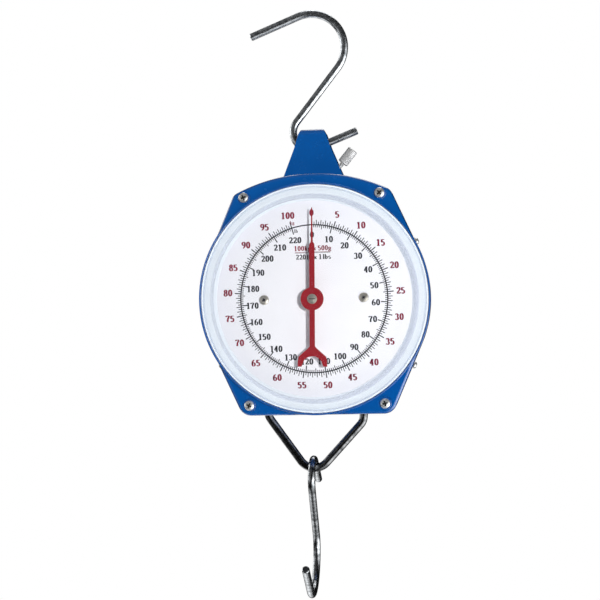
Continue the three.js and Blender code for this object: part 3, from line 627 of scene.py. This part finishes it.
# ---- Case ----
def case_outline(inset):
    """The outline of the case in X and Z, moved inwards by inset.

    Each shoulder is a round that touches both the straight side and the arch of the top."""
    side = CASE_SIDE_RADIUS - inset
    slope = radians(SIDE_SLOPE)
    arch = TOP_ARCH_RADIUS - inset
    arch_z = TOP_ARCH_Z - TOP_ARCH_RADIUS
    bottom = CASE_BOTTOM_Z + inset
    foot = FOOT_RADIUS - inset
    foot_z = bottom + foot
    foot_x = (side - foot + (foot_z - CASE_MIDDLE_Z) * sin(slope)) / cos(slope)
    shoulder = SHOULDER_RADIUS - inset
    line_x = (side - shoulder) * cos(slope)
    line_z = CASE_MIDDLE_Z + (side - shoulder) * sin(slope)
    dz = line_z - arch_z
    half = dz * cos(slope) - line_x * sin(slope)
    rest = line_x ** 2 + dz ** 2 - (arch - shoulder) ** 2
    along = -half + sqrt(half * half - rest)
    shoulder_x = line_x - along * sin(slope)
    shoulder_z = line_z + along * cos(slope)
    arch_end = degrees(atan2(shoulder_z - arch_z, shoulder_x))
    right = [
        *arc(foot_x, foot_z, foot, -90, -SIDE_SLOPE, 12),
        *arc(0, CASE_MIDDLE_Z, side, -SIDE_SLOPE + 0.5, SIDE_SLOPE - 0.5, 24),
        *arc(shoulder_x, shoulder_z, shoulder, SIDE_SLOPE, arch_end, 9),
        *arc(0, arch_z, arch, arch_end + 0.5, 90, 16),
    ]
    return right + [(-x, z) for x, z in reversed(right[:-1])]


def shell_shape(profile):
    """A shell of the case from (inset, y) pairs that run out over it and back inside it."""
    return stacked([[(x, y, z) for x, z in case_outline(inset)] for inset, y in profile])


def case_slots():
    """Cuts for the neck in the top, and for the two legs of the bail in the bottom."""
    shapes = [box_shape((-28.6, 28.6), (-9.6, 9.6), (80, 120))]
    for low, high in ((-52.5, -33.5), (33.5, 52.5)):
        shapes.append(box_shape((low, high), (-4.6, 4.6), (-110, -95)))
    return [("DIFFERENCE", shape) for shape in shapes]


LIP_MIDDLE = 100.9  # radius of the lip's crest
LIP_ROUND = 0.7
LIP_CENTRE = 31.45  # how far in front the centre of its round is
LIP_BACK = 24.5
SEAT_INNER = 93  # the seat that the lens flange lies on
SEAT_OUTER = 100.0
SEAT_BACK = 25.8
SEAT_FRONT = 27.3


def make_front_shell():
    outer = rounded(0, CASE_FRONT_Y, 3, 1)
    inner = rounded(SHEET, CASE_FRONT_Y + SHEET, 1.8, 1)
    skirt = [(0, FRONT_SKIRT_Y - 0.4), (0.4, FRONT_SKIRT_Y), (SHEET - 0.3, FRONT_SKIRT_Y),
             (SHEET, FRONT_SKIRT_Y - 0.3)]
    profile = outer + skirt + inner[::-1]
    dish = [(0, 27.1), (4.9, 27.1), (5.5, 27.25), (5.95, 27.6), (6.3, 28.3), (6.3, 30), (0, 30)]
    lip = [(SEAT_INNER, SEAT_BACK), (SEAT_OUTER, SEAT_BACK), (SEAT_OUTER, LIP_BACK),
           (LIP_MIDDLE + LIP_ROUND, LIP_BACK), *arc(LIP_MIDDLE, LIP_CENTRE, LIP_ROUND, 0, 180, 12),
           (LIP_MIDDLE - LIP_ROUND, SEAT_FRONT), (SEAT_INNER, SEAT_FRONT), (SEAT_INNER, SEAT_BACK)]
    steps = [("DIFFERENCE", rod_shape(LIP_MIDDLE, 0, 0, -40, -25, 180))]
    for x, z in CORNERS:
        steps.append(("DIFFERENCE", turned(dish, FRONT, (x, 0, z), 48)))
        steps.append(("DIFFERENCE", rod_shape(2.2, x, z, -40, -20, 24)))
    below = box_shape((-60, 60), (-40, 0), (CASE_BOTTOM_Z - 9, CASE_BOTTOM_Z))
    steps += [*case_slots(), ("UNION", turned(lip, segments=180)), ("DIFFERENCE", below)]
    finish_shell("front_shell", shell_shape(profile), steps)


def make_rear_shell():
    outer = rounded(REAR_INSET, CASE_BACK_Y, 4, -1, 8)
    inner = rounded(REAR_INSET + SHEET, CASE_BACK_Y - SHEET, 2.6, -1, 5)
    skirt = [(REAR_INSET, REAR_SKIRT_Y), (REAR_INSET + SHEET, REAR_SKIRT_Y)]
    finish_shell("rear_shell", shell_shape(outer + skirt + inner[::-1]), case_slots())


def finish_shell(node, shape, steps):
    shell = carved(node + "_drawn", shape, steps)
    finish_piece(shell, BLUE, "case", 38)
    weighted(shell)
    stand_for(node)


# ---- Lens, seal and dial ----
# Radius and distance in front of the dial's middle plane
LENS_FACE = [(0, 46.5), (60, 46.5), (84.6, 46.5)]
LENS_SHOULDER = (84.6, 43.9, 2.6)  # centre and radius of the round from the face to the wall
SHOULDER_STEPS = (0.3, 0.6, 0.9, 1.2, 1.45)  # angles round it, in radians
LENS_FLANGE = [(91.2, 31.6), (91.6, 31.0), (92.4, 30.8), (98.1, 30.8)]
LENS_BEAD = [(98.5, 31.15), (98.9, 31.25), (99.4, 31.15), (99.75, 30.8), (99.8, 30.4), (99.8, 29.4)]
LENS_INSIDE = [(99.6, 29.3), (90.2, 29.3), (89.6, 29.7), (85.8, 43.6), (85.2, 44.4), (84.2, 44.7),
               (0, 44.7)]
SEAL = [(86, 27.6), (99.8, 27.6), (99.8, 28.7), (99.6, 28.9), (86.3, 28.9), (86, 28.6), (86, 27.6)]
DIAL_PLATE = [(3.4, 28), (85.8, 28), (85.95, 28.1), (85.95, 28.7), (85.8, 28.8), (3.4, 28.8),
              (3.4, 28)]


def make_lens():
    x, height, radius = LENS_SHOULDER
    shoulder = [(x + radius * sin(a), height + radius * cos(a)) for a in SHOULDER_STEPS]
    profile = LENS_FACE + shoulder + LENS_FLANGE + LENS_BEAD + LENS_INSIDE
    lens = add_piece("lens_cover", *turned(profile, segments=192), LENS, "case", 50)
    lens.visible_shadow = False
    stand_for("lens")


def make_seal_and_dial():
    seal = add_piece("lens_seal", *turned(SEAL, segments=192), SEAL_WHITE, "case")
    stand_for("lens_seat_ring")
    dial = add_piece("dial_face", *turned(DIAL_PLATE, segments=192), DIAL_WHITE, "case")
    stand_for("dial_plate")


# ---- Dial print ----
PRINT_Y = -28.86
FULL_SCALE = 344  # degrees that 100 kg, or 220 lb, takes
DIAL_TURN = 0.1  # degrees clockwise that the print sits from the case's own vertical
RING = 64.6
KG_RADIUS = 76.2
LB_RADIUS = 54.4
KG_TYPE = (5.8, 0.275)  # height, and stroke width for a letter one unit high
LB_TYPE = (5.4, 0.265)
CAPACITY_TYPE = (4.4, 0.24)
UNIT_TYPE = (3.2, 0.2)
# Marks: every how many divisions, length and width
KG_MARKS = ((10, 5.4, 0.92), (2, 4.2, 0.7), (1, 2.7, 0.7))
LB_MARKS = ((10, 5.8, 0.92), (5, 3.7, 0.7), (1, 2.3, 0.7))

# Each letter is a list of strokes in a box one unit high. Upright strokes are drawn thick.
LETTERS = {
    "0": [oval(0.33, 0.5, 0.2, 0.45, 0, 360, 24)],
    "1": [[(0.14, 0.8), (0.3, 0.95)], [(0.33, 0.98), (0.33, 0.02)], [(0.13, 0.03), (0.53, 0.03)]],
    "2": [oval(0.32, 0.7, 0.19, 0.25, 170, -35) + [(0.12, 0.06)], [(0.1, 0.07), (0.56, 0.07)],
          [(0.56, 0.04), (0.56, 0.22)]],
    "3": [oval(0.3, 0.72, 0.17, 0.22, 160, -80), oval(0.3, 0.27, 0.2, 0.23, 80, -160)],
    "4": [[(0.4, 0.95), (0.06, 0.3)], [(0.05, 0.28), (0.6, 0.28)], [(0.41, 0.98), (0.41, 0.02)],
          [(0.26, 0.03), (0.56, 0.03)]],
    "5": [[(0.16, 0.92), (0.54, 0.92)], [(0.16, 0.95), (0.14, 0.5)],
          oval(0.31, 0.31, 0.2, 0.27, 140, -150)],
    "6": [oval(0.33, 0.29, 0.2, 0.25, 0, 360, 20), oval(0.52, 0.42, 0.39, 0.54, 100, 195)],
    "7": [[(0.1, 0.93), (0.56, 0.93)], [(0.1, 0.95), (0.1, 0.78)],
          [(0.55, 0.92), (0.32, 0.45), (0.28, 0.02)]],
    "8": [oval(0.33, 0.73, 0.16, 0.22, 0, 360, 20), oval(0.33, 0.27, 0.2, 0.24, 0, 360, 20)],
    "9": [oval(0.33, 0.71, 0.2, 0.25, 0, 360, 20), oval(0.14, 0.58, 0.39, 0.54, -80, 15)],
    "k": [[(0.18, 0.98), (0.18, 0.02)], [(0.5, 0.62), (0.18, 0.3)], [(0.3, 0.42), (0.54, 0.02)],
          [(0.08, 0.03), (0.3, 0.03)]],
    "g": [oval(0.3, 0.42, 0.17, 0.2, 0, 360, 16), oval(0.3, -0.06, 0.19, 0.15, 0, 360, 16),
          [(0.16, 0.24), (0.22, 0.12)]],
    "l": [[(0.3, 0.98), (0.3, 0.02)], [(0.16, 0.03), (0.46, 0.03)]],
    "b": [[(0.16, 0.98), (0.16, 0.04)], oval(0.33, 0.31, 0.19, 0.28, 0, 360, 18)],
    "x": [[(0.1, 0.6), (0.52, 0.05)], [(0.5, 0.6), (0.1, 0.05)]],
    "s": [oval(0.3, 0.44, 0.15, 0.13, 30, 260, 10), oval(0.3, 0.17, 0.16, 0.14, 80, -150, 10)],
    " ": [],
}
ADVANCE = {" ": 0.34, "l": 0.5, "x": 0.62, "s": 0.58}
WIDE = 0.69  # what any other letter takes


class Print:
    """Flat ink shapes gathered into one mesh."""

    def __init__(self):
        self.verts = []
        self.faces = []

    def quad(self, corners):
        start = len(self.verts)
        self.verts += [(x, PRINT_Y, z) for x, z in corners]
        self.faces.append((start, start + 1, start + 2, start + 3))

    def stroke(self, points, thick, thin):
        """A line that is thick where it runs up and thin where it runs across."""
        edges = []
        for i, (x, z) in enumerate(points):
            ahead = points[min(i + 1, len(points) - 1)]
            behind = points[max(i - 1, 0)]
            along = Vector((ahead[0] - behind[0], ahead[1] - behind[1])).normalized()
            width = thin + (thick - thin) * along.y ** 2
            side = Vector((-along.y, along.x)) * width / 2
            edges.append(((x + side.x, z + side.y), (x - side.x, z - side.y)))
        for (a, b), (c, d) in zip(edges, edges[1:]):
            self.quad([a, b, d, c])

    def mark(self, angle, inner, outer, width):
        """A line outwards from the middle, at an angle clockwise from the top."""
        a = radians(90 - angle)
        out = Vector((cos(a), sin(a)))
        side = Vector((-out.y, out.x)) * width / 2
        low, high = out * inner, out * outer
        self.quad([low - side, low + side, high + side, high - side])

    def circle(self, radius, width, steps=360):
        inner = arc(0, 0, radius - width / 2, 0, 360, steps)
        outer = arc(0, 0, radius + width / 2, 0, 360, steps)
        for i in range(steps):
            self.quad([inner[i], inner[i + 1], outer[i + 1], outer[i]])

    def bar(self, half, bottom, top):
        self.quad([(-half, top), (half, top), (half, bottom), (-half, bottom)])

    def text(self, words, x, z, type_size):
        """Writes words centred on x, z."""
        height, bold = type_size
        width = sum(ADVANCE.get(letter, WIDE) for letter in words) * height
        left = x - width / 2
        bottom = z - height / 2
        for letter in words:
            for points in LETTERS[letter]:
                placed = [(left + px * height, bottom + pz * height) for px, pz in points]
                self.stroke(placed, bold * height, bold * height * 0.42)
            left += ADVANCE.get(letter, WIDE) * height

    def add(self, name, material):
        piece = add_piece(name, clockwise(self.verts, DIAL_TURN), self.faces, material, "case")


def mark_size(number, marks):
    """The length and width of the mark for a number."""
    return next((length, width) for every, length, width in marks if number % every == 0)


def make_dial_print():
    red, black = Print(), Print()
    black.circle(RING, 1.05)
    for half_kg in range(201):
        length, width = mark_size(half_kg, KG_MARKS)
        black.mark(FULL_SCALE * half_kg / 200, RING, RING + length, width)
    for lb in range(221):
        length, width = mark_size(lb, LB_MARKS)
        black.mark(FULL_SCALE * lb / 220, RING - length, RING, width)
    for kg in range(5, 101, 5):
        a = radians(90 - FULL_SCALE * kg / 100)
        red.text(str(kg), KG_RADIUS * cos(a), KG_RADIUS * sin(a), KG_TYPE)
    for lb in range(10, 221, 10):
        a = radians(90 - FULL_SCALE * lb / 220)
        black.text(str(lb), LB_RADIUS * cos(a), LB_RADIUS * sin(a) - 0.8, LB_TYPE)
    red.text("0", 0, 75.2, KG_TYPE)
    black.text("0", 0, 56, LB_TYPE)
    red.text("kg", -17.2, 66.9, UNIT_TYPE)
    black.text("lb", -14.2, 59.6, UNIT_TYPE)
    red.text("100kg x 500g", 0.3, 44.2, CAPACITY_TYPE)
    black.text("220lb x 1lbs", 0.6, 36.6, CAPACITY_TYPE)
    red.bar(15.5, 40.65, 41.0)
    black.bar(15.5, 39.95, 40.3)
    red.add("dial_print_red", RED_INK)
    black.add("dial_print_black", BLACK_INK)


# ---- Screws ----
def screw_profile(radius, height, shank, length, seat=0.0, base=0.0):
    """A domed head over base, on a shank. The head's rim goes down to seat below base."""
    dome = []
    for k in range(9):
        a = pi / 2 * k / 8
        dome.append((radius * sin(a) ** 0.9, height * (0.28 + 0.72 * cos(a) ** 1.1)))
    dome[0] = (0, height)
    stem = [(0, -length), (shank, -length), (shank, -seat), (radius, -seat), (radius, height * 0.24)]
    return [(r, h + base) for r, h in stem + dome[::-1]]


def cross_recess(axis, centre, size, depth, top, turn):
    """Two tapered bars that cut a cross recess, depth below top and turned by degrees."""
    side, other = across(axis)
    shapes = []
    for quarter in (0, 1):
        a = radians(turn + 90 * quarter)
        long = side * cos(a) + other * sin(a)
        short = axis.cross(long)
        rings = []
        for height, reach, half in ((top - depth, size * 0.5, 0.45), (top + 1, size * 1.15, 0.85)):
            level = Vector(centre) + axis * height
            signs = ((-1, -1), (1, -1), (1, 1), (-1, 1))
            rings.append([level + long * reach * i + short * half * j for i, j in signs])
        shapes.append(stacked(rings))
    return shapes


def surface_height(profile, radius):
    """How high a lathe profile stands at a radius."""
    highest = 0
    for (r1, h1), (r2, h2) in zip(profile, profile[1:]):
        if r1 != r2 and min(r1, r2) <= radius <= max(r1, r2):
            highest = max(highest, h1 + (h2 - h1) * (radius - r1) / (r2 - r1))
    return highest


RECESS_REACH = 2.9  # farther than any recess goes from its screw's middle
RECESS_LEAST = 0.12  # a face this far below the dome is in the recess
RECESS_MOST = 3  # no recess goes farther below the top of its screw


def make_screw(node, material, profile, centre, shapes, axis=FRONT, body="case"):
    """A screw with its recess cut in by shapes. The faces inside the recess get a dark material: painted shade."""
    cuts = [("DIFFERENCE", shape) for shape in shapes]
    screw = carved(node + "_head", turned(profile, axis, centre, 40), cuts)
    finish_piece(screw, material, body, 32)
    screw.data.materials.append(CUT_END_AND_RECESS_SHADE)
    top = max(height for _, height in profile)
    # Painted shade: faces down inside the recess take the dark material
    for face in screw.data.polygons:
        offset = face.center / MM - DIAL - Vector(centre)
        height = offset.dot(axis)
        radius = (offset - axis * height).length
        below = height < surface_height(profile, radius) - RECESS_LEAST
        if below and height > top - RECESS_MOST and radius < RECESS_REACH:
            face.material_index = 1
    stand_for(node)


def make_corner_screws():
    profile = screw_profile(radius=4.45, height=2.8, shank=1.9, length=10, seat=1.1, base=28.3)
    turns = (20, 38, 65, 12)
    for (x, z), name, turn in zip(CORNERS, CORNER_NAMES, turns):
        shapes = cross_recess(FRONT, (x, 0, z), size=2.7, depth=2.1, top=31.1, turn=turn)
        make_screw(f"corner_screw_{name}", SCREW_ZINC, profile, (x, 0, z), shapes)


def make_dial_screws():
    profile = screw_profile(radius=4.3, height=2.5, shank=1.5, length=5, base=29.1)
    for side, x in (("left", -DIAL_SCREW_X), ("right", DIAL_SCREW_X)):
        shapes = cross_recess(FRONT, (x, 0, 0), size=1.7, depth=1.3, top=31.6, turn=30)
        make_screw(f"dial_screw_{side}", NICKEL, profile, (x, 0, 0), shapes)


def make_side_screws():
    """Each stands square on a straight side of the case, where the CAD has it."""
    profile = screw_profile(radius=3.1, height=2.7, shank=1.4, length=5)
    slope = radians(SIDE_SLOPE)
    for name in CORNER_NAMES:
        node = f"side_screw_{name}"
        place = middle(node) - DIAL
        rise = 1 if place.z > 0 else -1
        axis = Vector((copysign(cos(slope), place.x), 0, rise * sin(slope)))
        seat = CASE_SIDE_RADIUS + CASE_MIDDLE_Z * sin(slope) * rise + 0.3
        base = place - axis * (axis.dot(place) - seat)
        shapes = cross_recess(axis, base, size=1.4, depth=1.3, top=2.8, turn=40)
        make_screw(node, SCREW_ZINC, profile, base, shapes, axis)


def make_hub_screw():
    profile = [(0, 41.2), (1.2, 41.2), (1.2, 42.1), (4.3, 42.1), (4.3, 42.4), (4.1, 42.5), (2.7, 42.5),
               (2.6, 42.9), (2.1, 43.15), (0, 43.2)]
    slot = box_shape((-3, 3), (-45, -42.5), (-0.35, 0.35))
    make_screw("hub_screw", NICKEL, profile, (0, 0, 0), [slot], body="pointer")


# ---- Neck and zero adjuster ----
NECK_DEPTH = 9.0  # from the middle to the strap's outer face
NECK_SHEET = 2.0
NECK_BEND = 5.0
NECK_EDGE = 0.45
NECK_LOW = 72.0
NECK_TOP = 150.8
NECK_OUTLINE = [(27.4, 71), (27.4, 107), (16.4, 134), (12.4, 146.5), (9.6, 151.8)]  # half width, height


def neck_half_width(z):
    """Half the width of the neck's plates at a height."""
    for (wide, low), (narrow, high) in zip(NECK_OUTLINE, NECK_OUTLINE[1:]):
        if z <= high:
            return wide - (z - low) * (wide - narrow) / (high - low)
    return NECK_OUTLINE[-1][0]


def neck_path():
    """The strap's outer face from front to back over the top: (y, z) and the way it faces."""
    path = [((-NECK_DEPTH, z), (-1, 0)) for z in (NECK_LOW, 80, 95, 107, 115, 125, 134, 140, 145.8)]
    for k in range(1, 8):
        a = pi / 2 * k / 8
        y = -NECK_DEPTH + NECK_BEND * (1 - cos(a))
        z = NECK_TOP - NECK_BEND * (1 - sin(a))
        path.append(((y, z), (-cos(a), sin(a))))
    path += [((-4, NECK_TOP), (0, 1)), ((-1.5, NECK_TOP), (0, 1))]
    return path + [((-y, z), (-ny, nz)) for (y, z), (ny, nz) in reversed(path)]


def make_neck():
    rings = []
    for (y, z), (ny, nz) in neck_path():
        width = neck_half_width(z)
        ring = []
        for sign, depth, inward in ((1, 0, 1), (1, NECK_SHEET, -1), (-1, NECK_SHEET, -1), (-1, 0, 1)):
            corner = rounded(0, depth, NECK_EDGE, inward, 3)
            for inset, d in corner if sign == inward else reversed(corner):
                ring.append((sign * (width - inset), y - ny * d, z - nz * d))
        rings.append(ring)
    neck = solid("neck_strap", stacked(rings))
    finish_piece(neck, BLUE, "case", 40)
    # Painted shade: the inner faces of the strap, between its front and back plates, take a near-black blue
    neck.data.materials.append(STRAP_INSIDE_SHADE)
    for face in neck.data.polygons:
        y = face.center.y / MM
        if abs(y) < NECK_DEPTH - NECK_SHEET + 0.1 and face.normal.y * y < 0:
            face.material_index = 1
    weighted(neck)
    stand_for("hanger_strap")


KNOB_RADIUS = 4.7
KNOB_LENGTH = 15.2
KNURLS = 36  # ridges round the knob, each way
KNURL_TWIST = 1.15  # ridges that a line along the knob crosses in a millimetre
THREAD_RADIUS = 2.1
THREAD_DEPTH = 0.45
THREAD_PITCH = 0.7
THREAD_LENGTH = 43.8
THREAD_ROWS = 376


def knurl(angle, height):
    """How far the crossed grooves of the knob cut in at a point."""
    if not 0.7 < height < KNOB_LENGTH - 0.7:
        return 0
    around = KNURLS * angle / (2 * pi)
    one = abs((around + height * KNURL_TWIST) % 1 - 0.5)
    two = abs((around - height * KNURL_TWIST) % 1 - 0.5)
    return -0.5 * max(0.0, 0.45 - min(one, two) * 1.6)


def thread(angle, height):
    """How far the screw's thread cuts in at a point."""
    phase = (height / THREAD_PITCH + angle / (2 * pi)) % 1
    return -THREAD_DEPTH * (1 - abs(2 * phase - 1))


def make_zero_adjuster():
    pivot, axis = joint("zero_knob_turn")
    foot = pivot - DIAL
    side = [(KNOB_RADIUS, 0.7 + (KNOB_LENGTH - 1.4) * k / 44) for k in range(45)]
    profile = [(0, 0), (KNOB_RADIUS - 0.9, 0), (KNOB_RADIUS - 0.1, 0.6), *side,
               (KNOB_RADIUS - 0.1, KNOB_LENGTH - 0.6), (KNOB_RADIUS - 0.8, KNOB_LENGTH),
               (0, KNOB_LENGTH)]
    shape = turned(profile, axis, foot, 216, knurl)
    knob = add_piece("zero_knob_knurled", *shape, KNOB_METAL, "zero_adjuster", 60)
    stand_for("zero_knob")
    rows = [(THREAD_RADIUS, -0.3 - THREAD_LENGTH * k / THREAD_ROWS) for k in range(THREAD_ROWS + 1)]
    profile = [(0, rows[-1][1]), *rows[::-1], (0, rows[0][1])]
    shape = turned(profile, axis, foot, 20, thread)
    screw = add_piece("zero_screw_threaded", *shape, SCREW_ZINC, "zero_adjuster", 60)
    stand_for("zero_screw")


# ---- Pointer ----
POINTER_REST = 1.3  # degrees clockwise that it stands from the case's own vertical


def pointer_outline():
    stem, hub = 2.3, 10
    lean = degrees(asin(stem / hub))
    right = [
        *arc(0, -58.6, 9, 90, 10, 10)[1:],
        (9.5, -58.6), (12.9, -58.6), (12.7, -54), (12, -50), (8, -46.4), (4, -42.9),
        (stem, -41.0), (stem, -30),
        *arc(0, 0, hub, lean - 90, 90 - lean, 40),
        (stem, 30), (stem, 46), (2.0, 47.6), (0.9, 49.2), (0.85, 52), (0.45, 77.6), (0.3, 78.9),
    ]
    return [(0, -49.6)] + right + [(-x, z) for x, z in reversed(right)]


def make_pointer():
    verts, faces = plate(pointer_outline(), -41.8, -41.0, 0.14)
    verts = clockwise(verts, POINTER_REST)
    pointer = add_piece("pointer_blade", verts, faces, RED_PAINT, "pointer", 30)
    weighted(pointer)
    stand_for("pointer")


# ---- Springs ----
SPRING_TOP = 68.5
SPRING_BOTTOM = 13.5
SPRING_X = 22
COIL_RADIUS = 11.0
COIL_WIRE = 1.95
COIL_TURNS = 14
COIL_STEPS = 24


def make_spring(side, x):
    rise = (SPRING_TOP - SPRING_BOTTOM - 2 * COIL_WIRE) / COIL_TURNS
    rings = []
    for i in range(COIL_TURNS * COIL_STEPS + 1):
        a = 2 * pi * i / COIL_STEPS
        out = Vector((cos(a), sin(a), 0))
        along = Vector((-out.y * COIL_RADIUS, out.x * COIL_RADIUS, rise / (2 * pi))).normalized()
        low_end = Vector((x, 0, SPRING_BOTTOM + COIL_WIRE))
        centre = low_end + UP * rise * i / COIL_STEPS + out * COIL_RADIUS
        rings.append(ring_of(centre, out, out.cross(along), COIL_WIRE, 10))
    spring = add_piece(f"spring_coil_{side}", *stacked(rings), SPRING_WIRE, None, 60)
    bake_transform(spring)
    stand_for(f"spring_{side}")


# ---- CAD nodes that stay ----
KEPT = {
    "zinc_steel": ZINC,
    "dark_steel": DARK_STEEL,
    "spring_steel": SPRING_WIRE,
    "nickel": NICKEL,
    "brass": BRASS,
    "aluminium": KNOB_METAL,
}


def dress_cad_nodes():
    """Gives the CAD nodes of metal that show as they are a procedural metal."""
    for entry in frame["record"]["subparts"]:
        slot = entry["material_slot"]
        node = frame["nodes"][entry["node"]]
        if slot in KEPT:
            finish_piece(node, KEPT[slot], None)
            for polygon in node.data.polygons:
                polygon.material_index = 0


# ---- Studio ----
FLOOR_Z = -1150  # well below the lower hook
# Place, width and height, and power of each light
LIGHTS = {
    "key": ((0.72, -1.95, -0.1), (0.12, 0.12), 34.5),
    "front_fill": ((0.1, -1.6, 0.9), (1.4, 1.0), 1.8),
    "right_fill": ((0.85, -0.6, -0.4), (0.5, 0.8), 0.3),
    "left_fill": ((-1.5, -0.6, 0.3), (0.8, 1.2), 3.0),
    "back": ((-0.4, 1.7, 0.6), (1.4, 1.2), 24),
}
LIGHT_TARGET = Vector((0, 0, -0.25))


def make_floor():
    glow = {"emission_color": (1, 1, 1, 1), "emission_strength": 0.35}
    paper = coated("floor_paper", (0.93, 0.93, 0.93), 0.7, **glow)
    verts, faces = turned([(0, 0), (1500, 0), (1500, -20), (0, -20)], UP)
    floor = add_piece("floor", verts, faces, paper, None, offset=UP * FLOOR_Z)
    floor.visible_glossy = False


def make_lights():
    """Soft lights for the matt surfaces. What the gloss mirrors is the world."""
    for name, (place, size, power) in LIGHTS.items():
        light = bpy.data.lights.new(name, "AREA")
        light.shape = "RECTANGLE"
        light.size, light.size_y = size
        light.energy = power
        holder = add_object(name, light)
        holder.location = place
        holder.rotation_euler = (LIGHT_TARGET - Vector(place)).to_track_quat("-Z", "Y").to_euler()
        holder.visible_glossy = False


DARK_ROOM = 0.012  # what gloss mirrors between the panels
# Panels of light that gloss mirrors: the way to its middle, the cosines of the angles from there
# at which it begins and is full, and its strength
PANELS = [
    ((0.80, -0.34, -0.52), 0.60, 0.84, 1.2),
    ((0.86, -0.20, -0.46), 0.90, 0.95, 3.0),
    ((-0.75, -0.30, 0.58), 0.30, 0.90, 0.14),
    ((0.05, 0.50, 0.86), 0.92, 0.96, 3.0),
    ((0.00, 0.55, -0.83), 0.94, 0.965, 0.9),
    ((-0.85, 0.35, 0.15), 0.90, 0.95, 2.5),
    ((0.62, -0.62, -0.45), 0.90, 0.96, 1.8),
    ((-0.485, 0.437, -0.753), 0.86, 0.95, 1.35),
    ((-0.82, -0.54, -0.15), 0.93, 0.97, 0.5),
]


def make_world():
    """White to the eye and even for matt surfaces. Gloss mirrors a dark room with soft panels."""
    world = bpy.data.worlds.new("studio")
    scene.world = world
    nodes = Nodes(world)
    place = nodes.node("ShaderNodeTexCoord")
    total = nodes.node("ShaderNodeValue")
    total.outputs["Value"].default_value = DARK_ROOM
    for toward, start, full, strength in PANELS:
        way = [(1, Vector(toward).normalized())]
        facing = nodes.node("ShaderNodeVectorMath", way, operation="DOT_PRODUCT")
        nodes.link(place, "Generated", facing, 0)
        panel = nodes.span(facing, "Value", start, full, 0, strength, "SMOOTHSTEP")
        more = nodes.node("ShaderNodeMath", operation="ADD")
        nodes.link(total, "Value", more, 0)
        nodes.link(panel, "Result", more, 1)
        total = more
    mirrored = nodes.node("ShaderNodeBackground", [("Color", (1, 1, 1, 1))])
    nodes.link(total, "Value", mirrored, "Strength")
    seen = nodes.node("ShaderNodeBackground", [("Color", (1, 1, 1, 1)), ("Strength", 1.0)])
    shader = nodes.node("ShaderNodeBackground", [("Color", (0.88, 0.93, 1.0, 1)), ("Strength", 0.09)])
    path = nodes.node("ShaderNodeLightPath")
    for ray, background in (("Is Glossy Ray", mirrored), ("Is Camera Ray", seen)):
        mix = nodes.node("ShaderNodeMixShader")
        nodes.link(path, ray, mix, "Fac")
        nodes.link(shader, 0, mix, 1)
        nodes.link(background, 0, mix, 2)
        shader = mix
    nodes.link(shader, 0, nodes.node("ShaderNodeOutputWorld"), "Surface")


CAMERA_TURN = (7.3, 0.3, 1.6)  # yaw, pitch and roll in degrees
CAMERA_PLACE = Vector((125.25, -1101.27, 4.86))  # from the dial's middle
CAMERA_LENS = 74.2
SENSOR_WIDTH = 36


def make_camera():
    yaw, pitch, roll = (radians(a) for a in CAMERA_TURN)
    back = Vector((sin(yaw) * cos(pitch), -cos(yaw) * cos(pitch), sin(pitch)))
    level = Vector((cos(yaw), sin(yaw), 0))
    rise = back.cross(level)
    right = cos(roll) * level - sin(roll) * rise
    up = sin(roll) * level + cos(roll) * rise
    camera = add_object("camera", bpy.data.cameras.new("camera"))
    camera.data.sensor_width = SENSOR_WIDTH
    camera.data.lens = CAMERA_LENS
    turn = Matrix((right, up, back)).transposed().to_4x4()
    camera.matrix_world = Matrix.Translation((CAMERA_PLACE + DIAL) * MM) @ turn
    scene.camera = camera


make_camera()
make_world()
make_lights()
make_floor()
dress_cad_nodes()
make_top_hook()
make_lower_hook()
make_bail()
make_front_shell()
make_rear_shell()
make_lens()
make_seal_and_dial()
make_dial_print()
make_corner_screws()
make_dial_screws()
make_side_screws()
make_hub_screw()
make_neck()
make_zero_adjuster()
make_pointer()
make_spring("left", -SPRING_X)
make_spring("right", SPRING_X)
scene.view_settings.view_transform = "Standard"
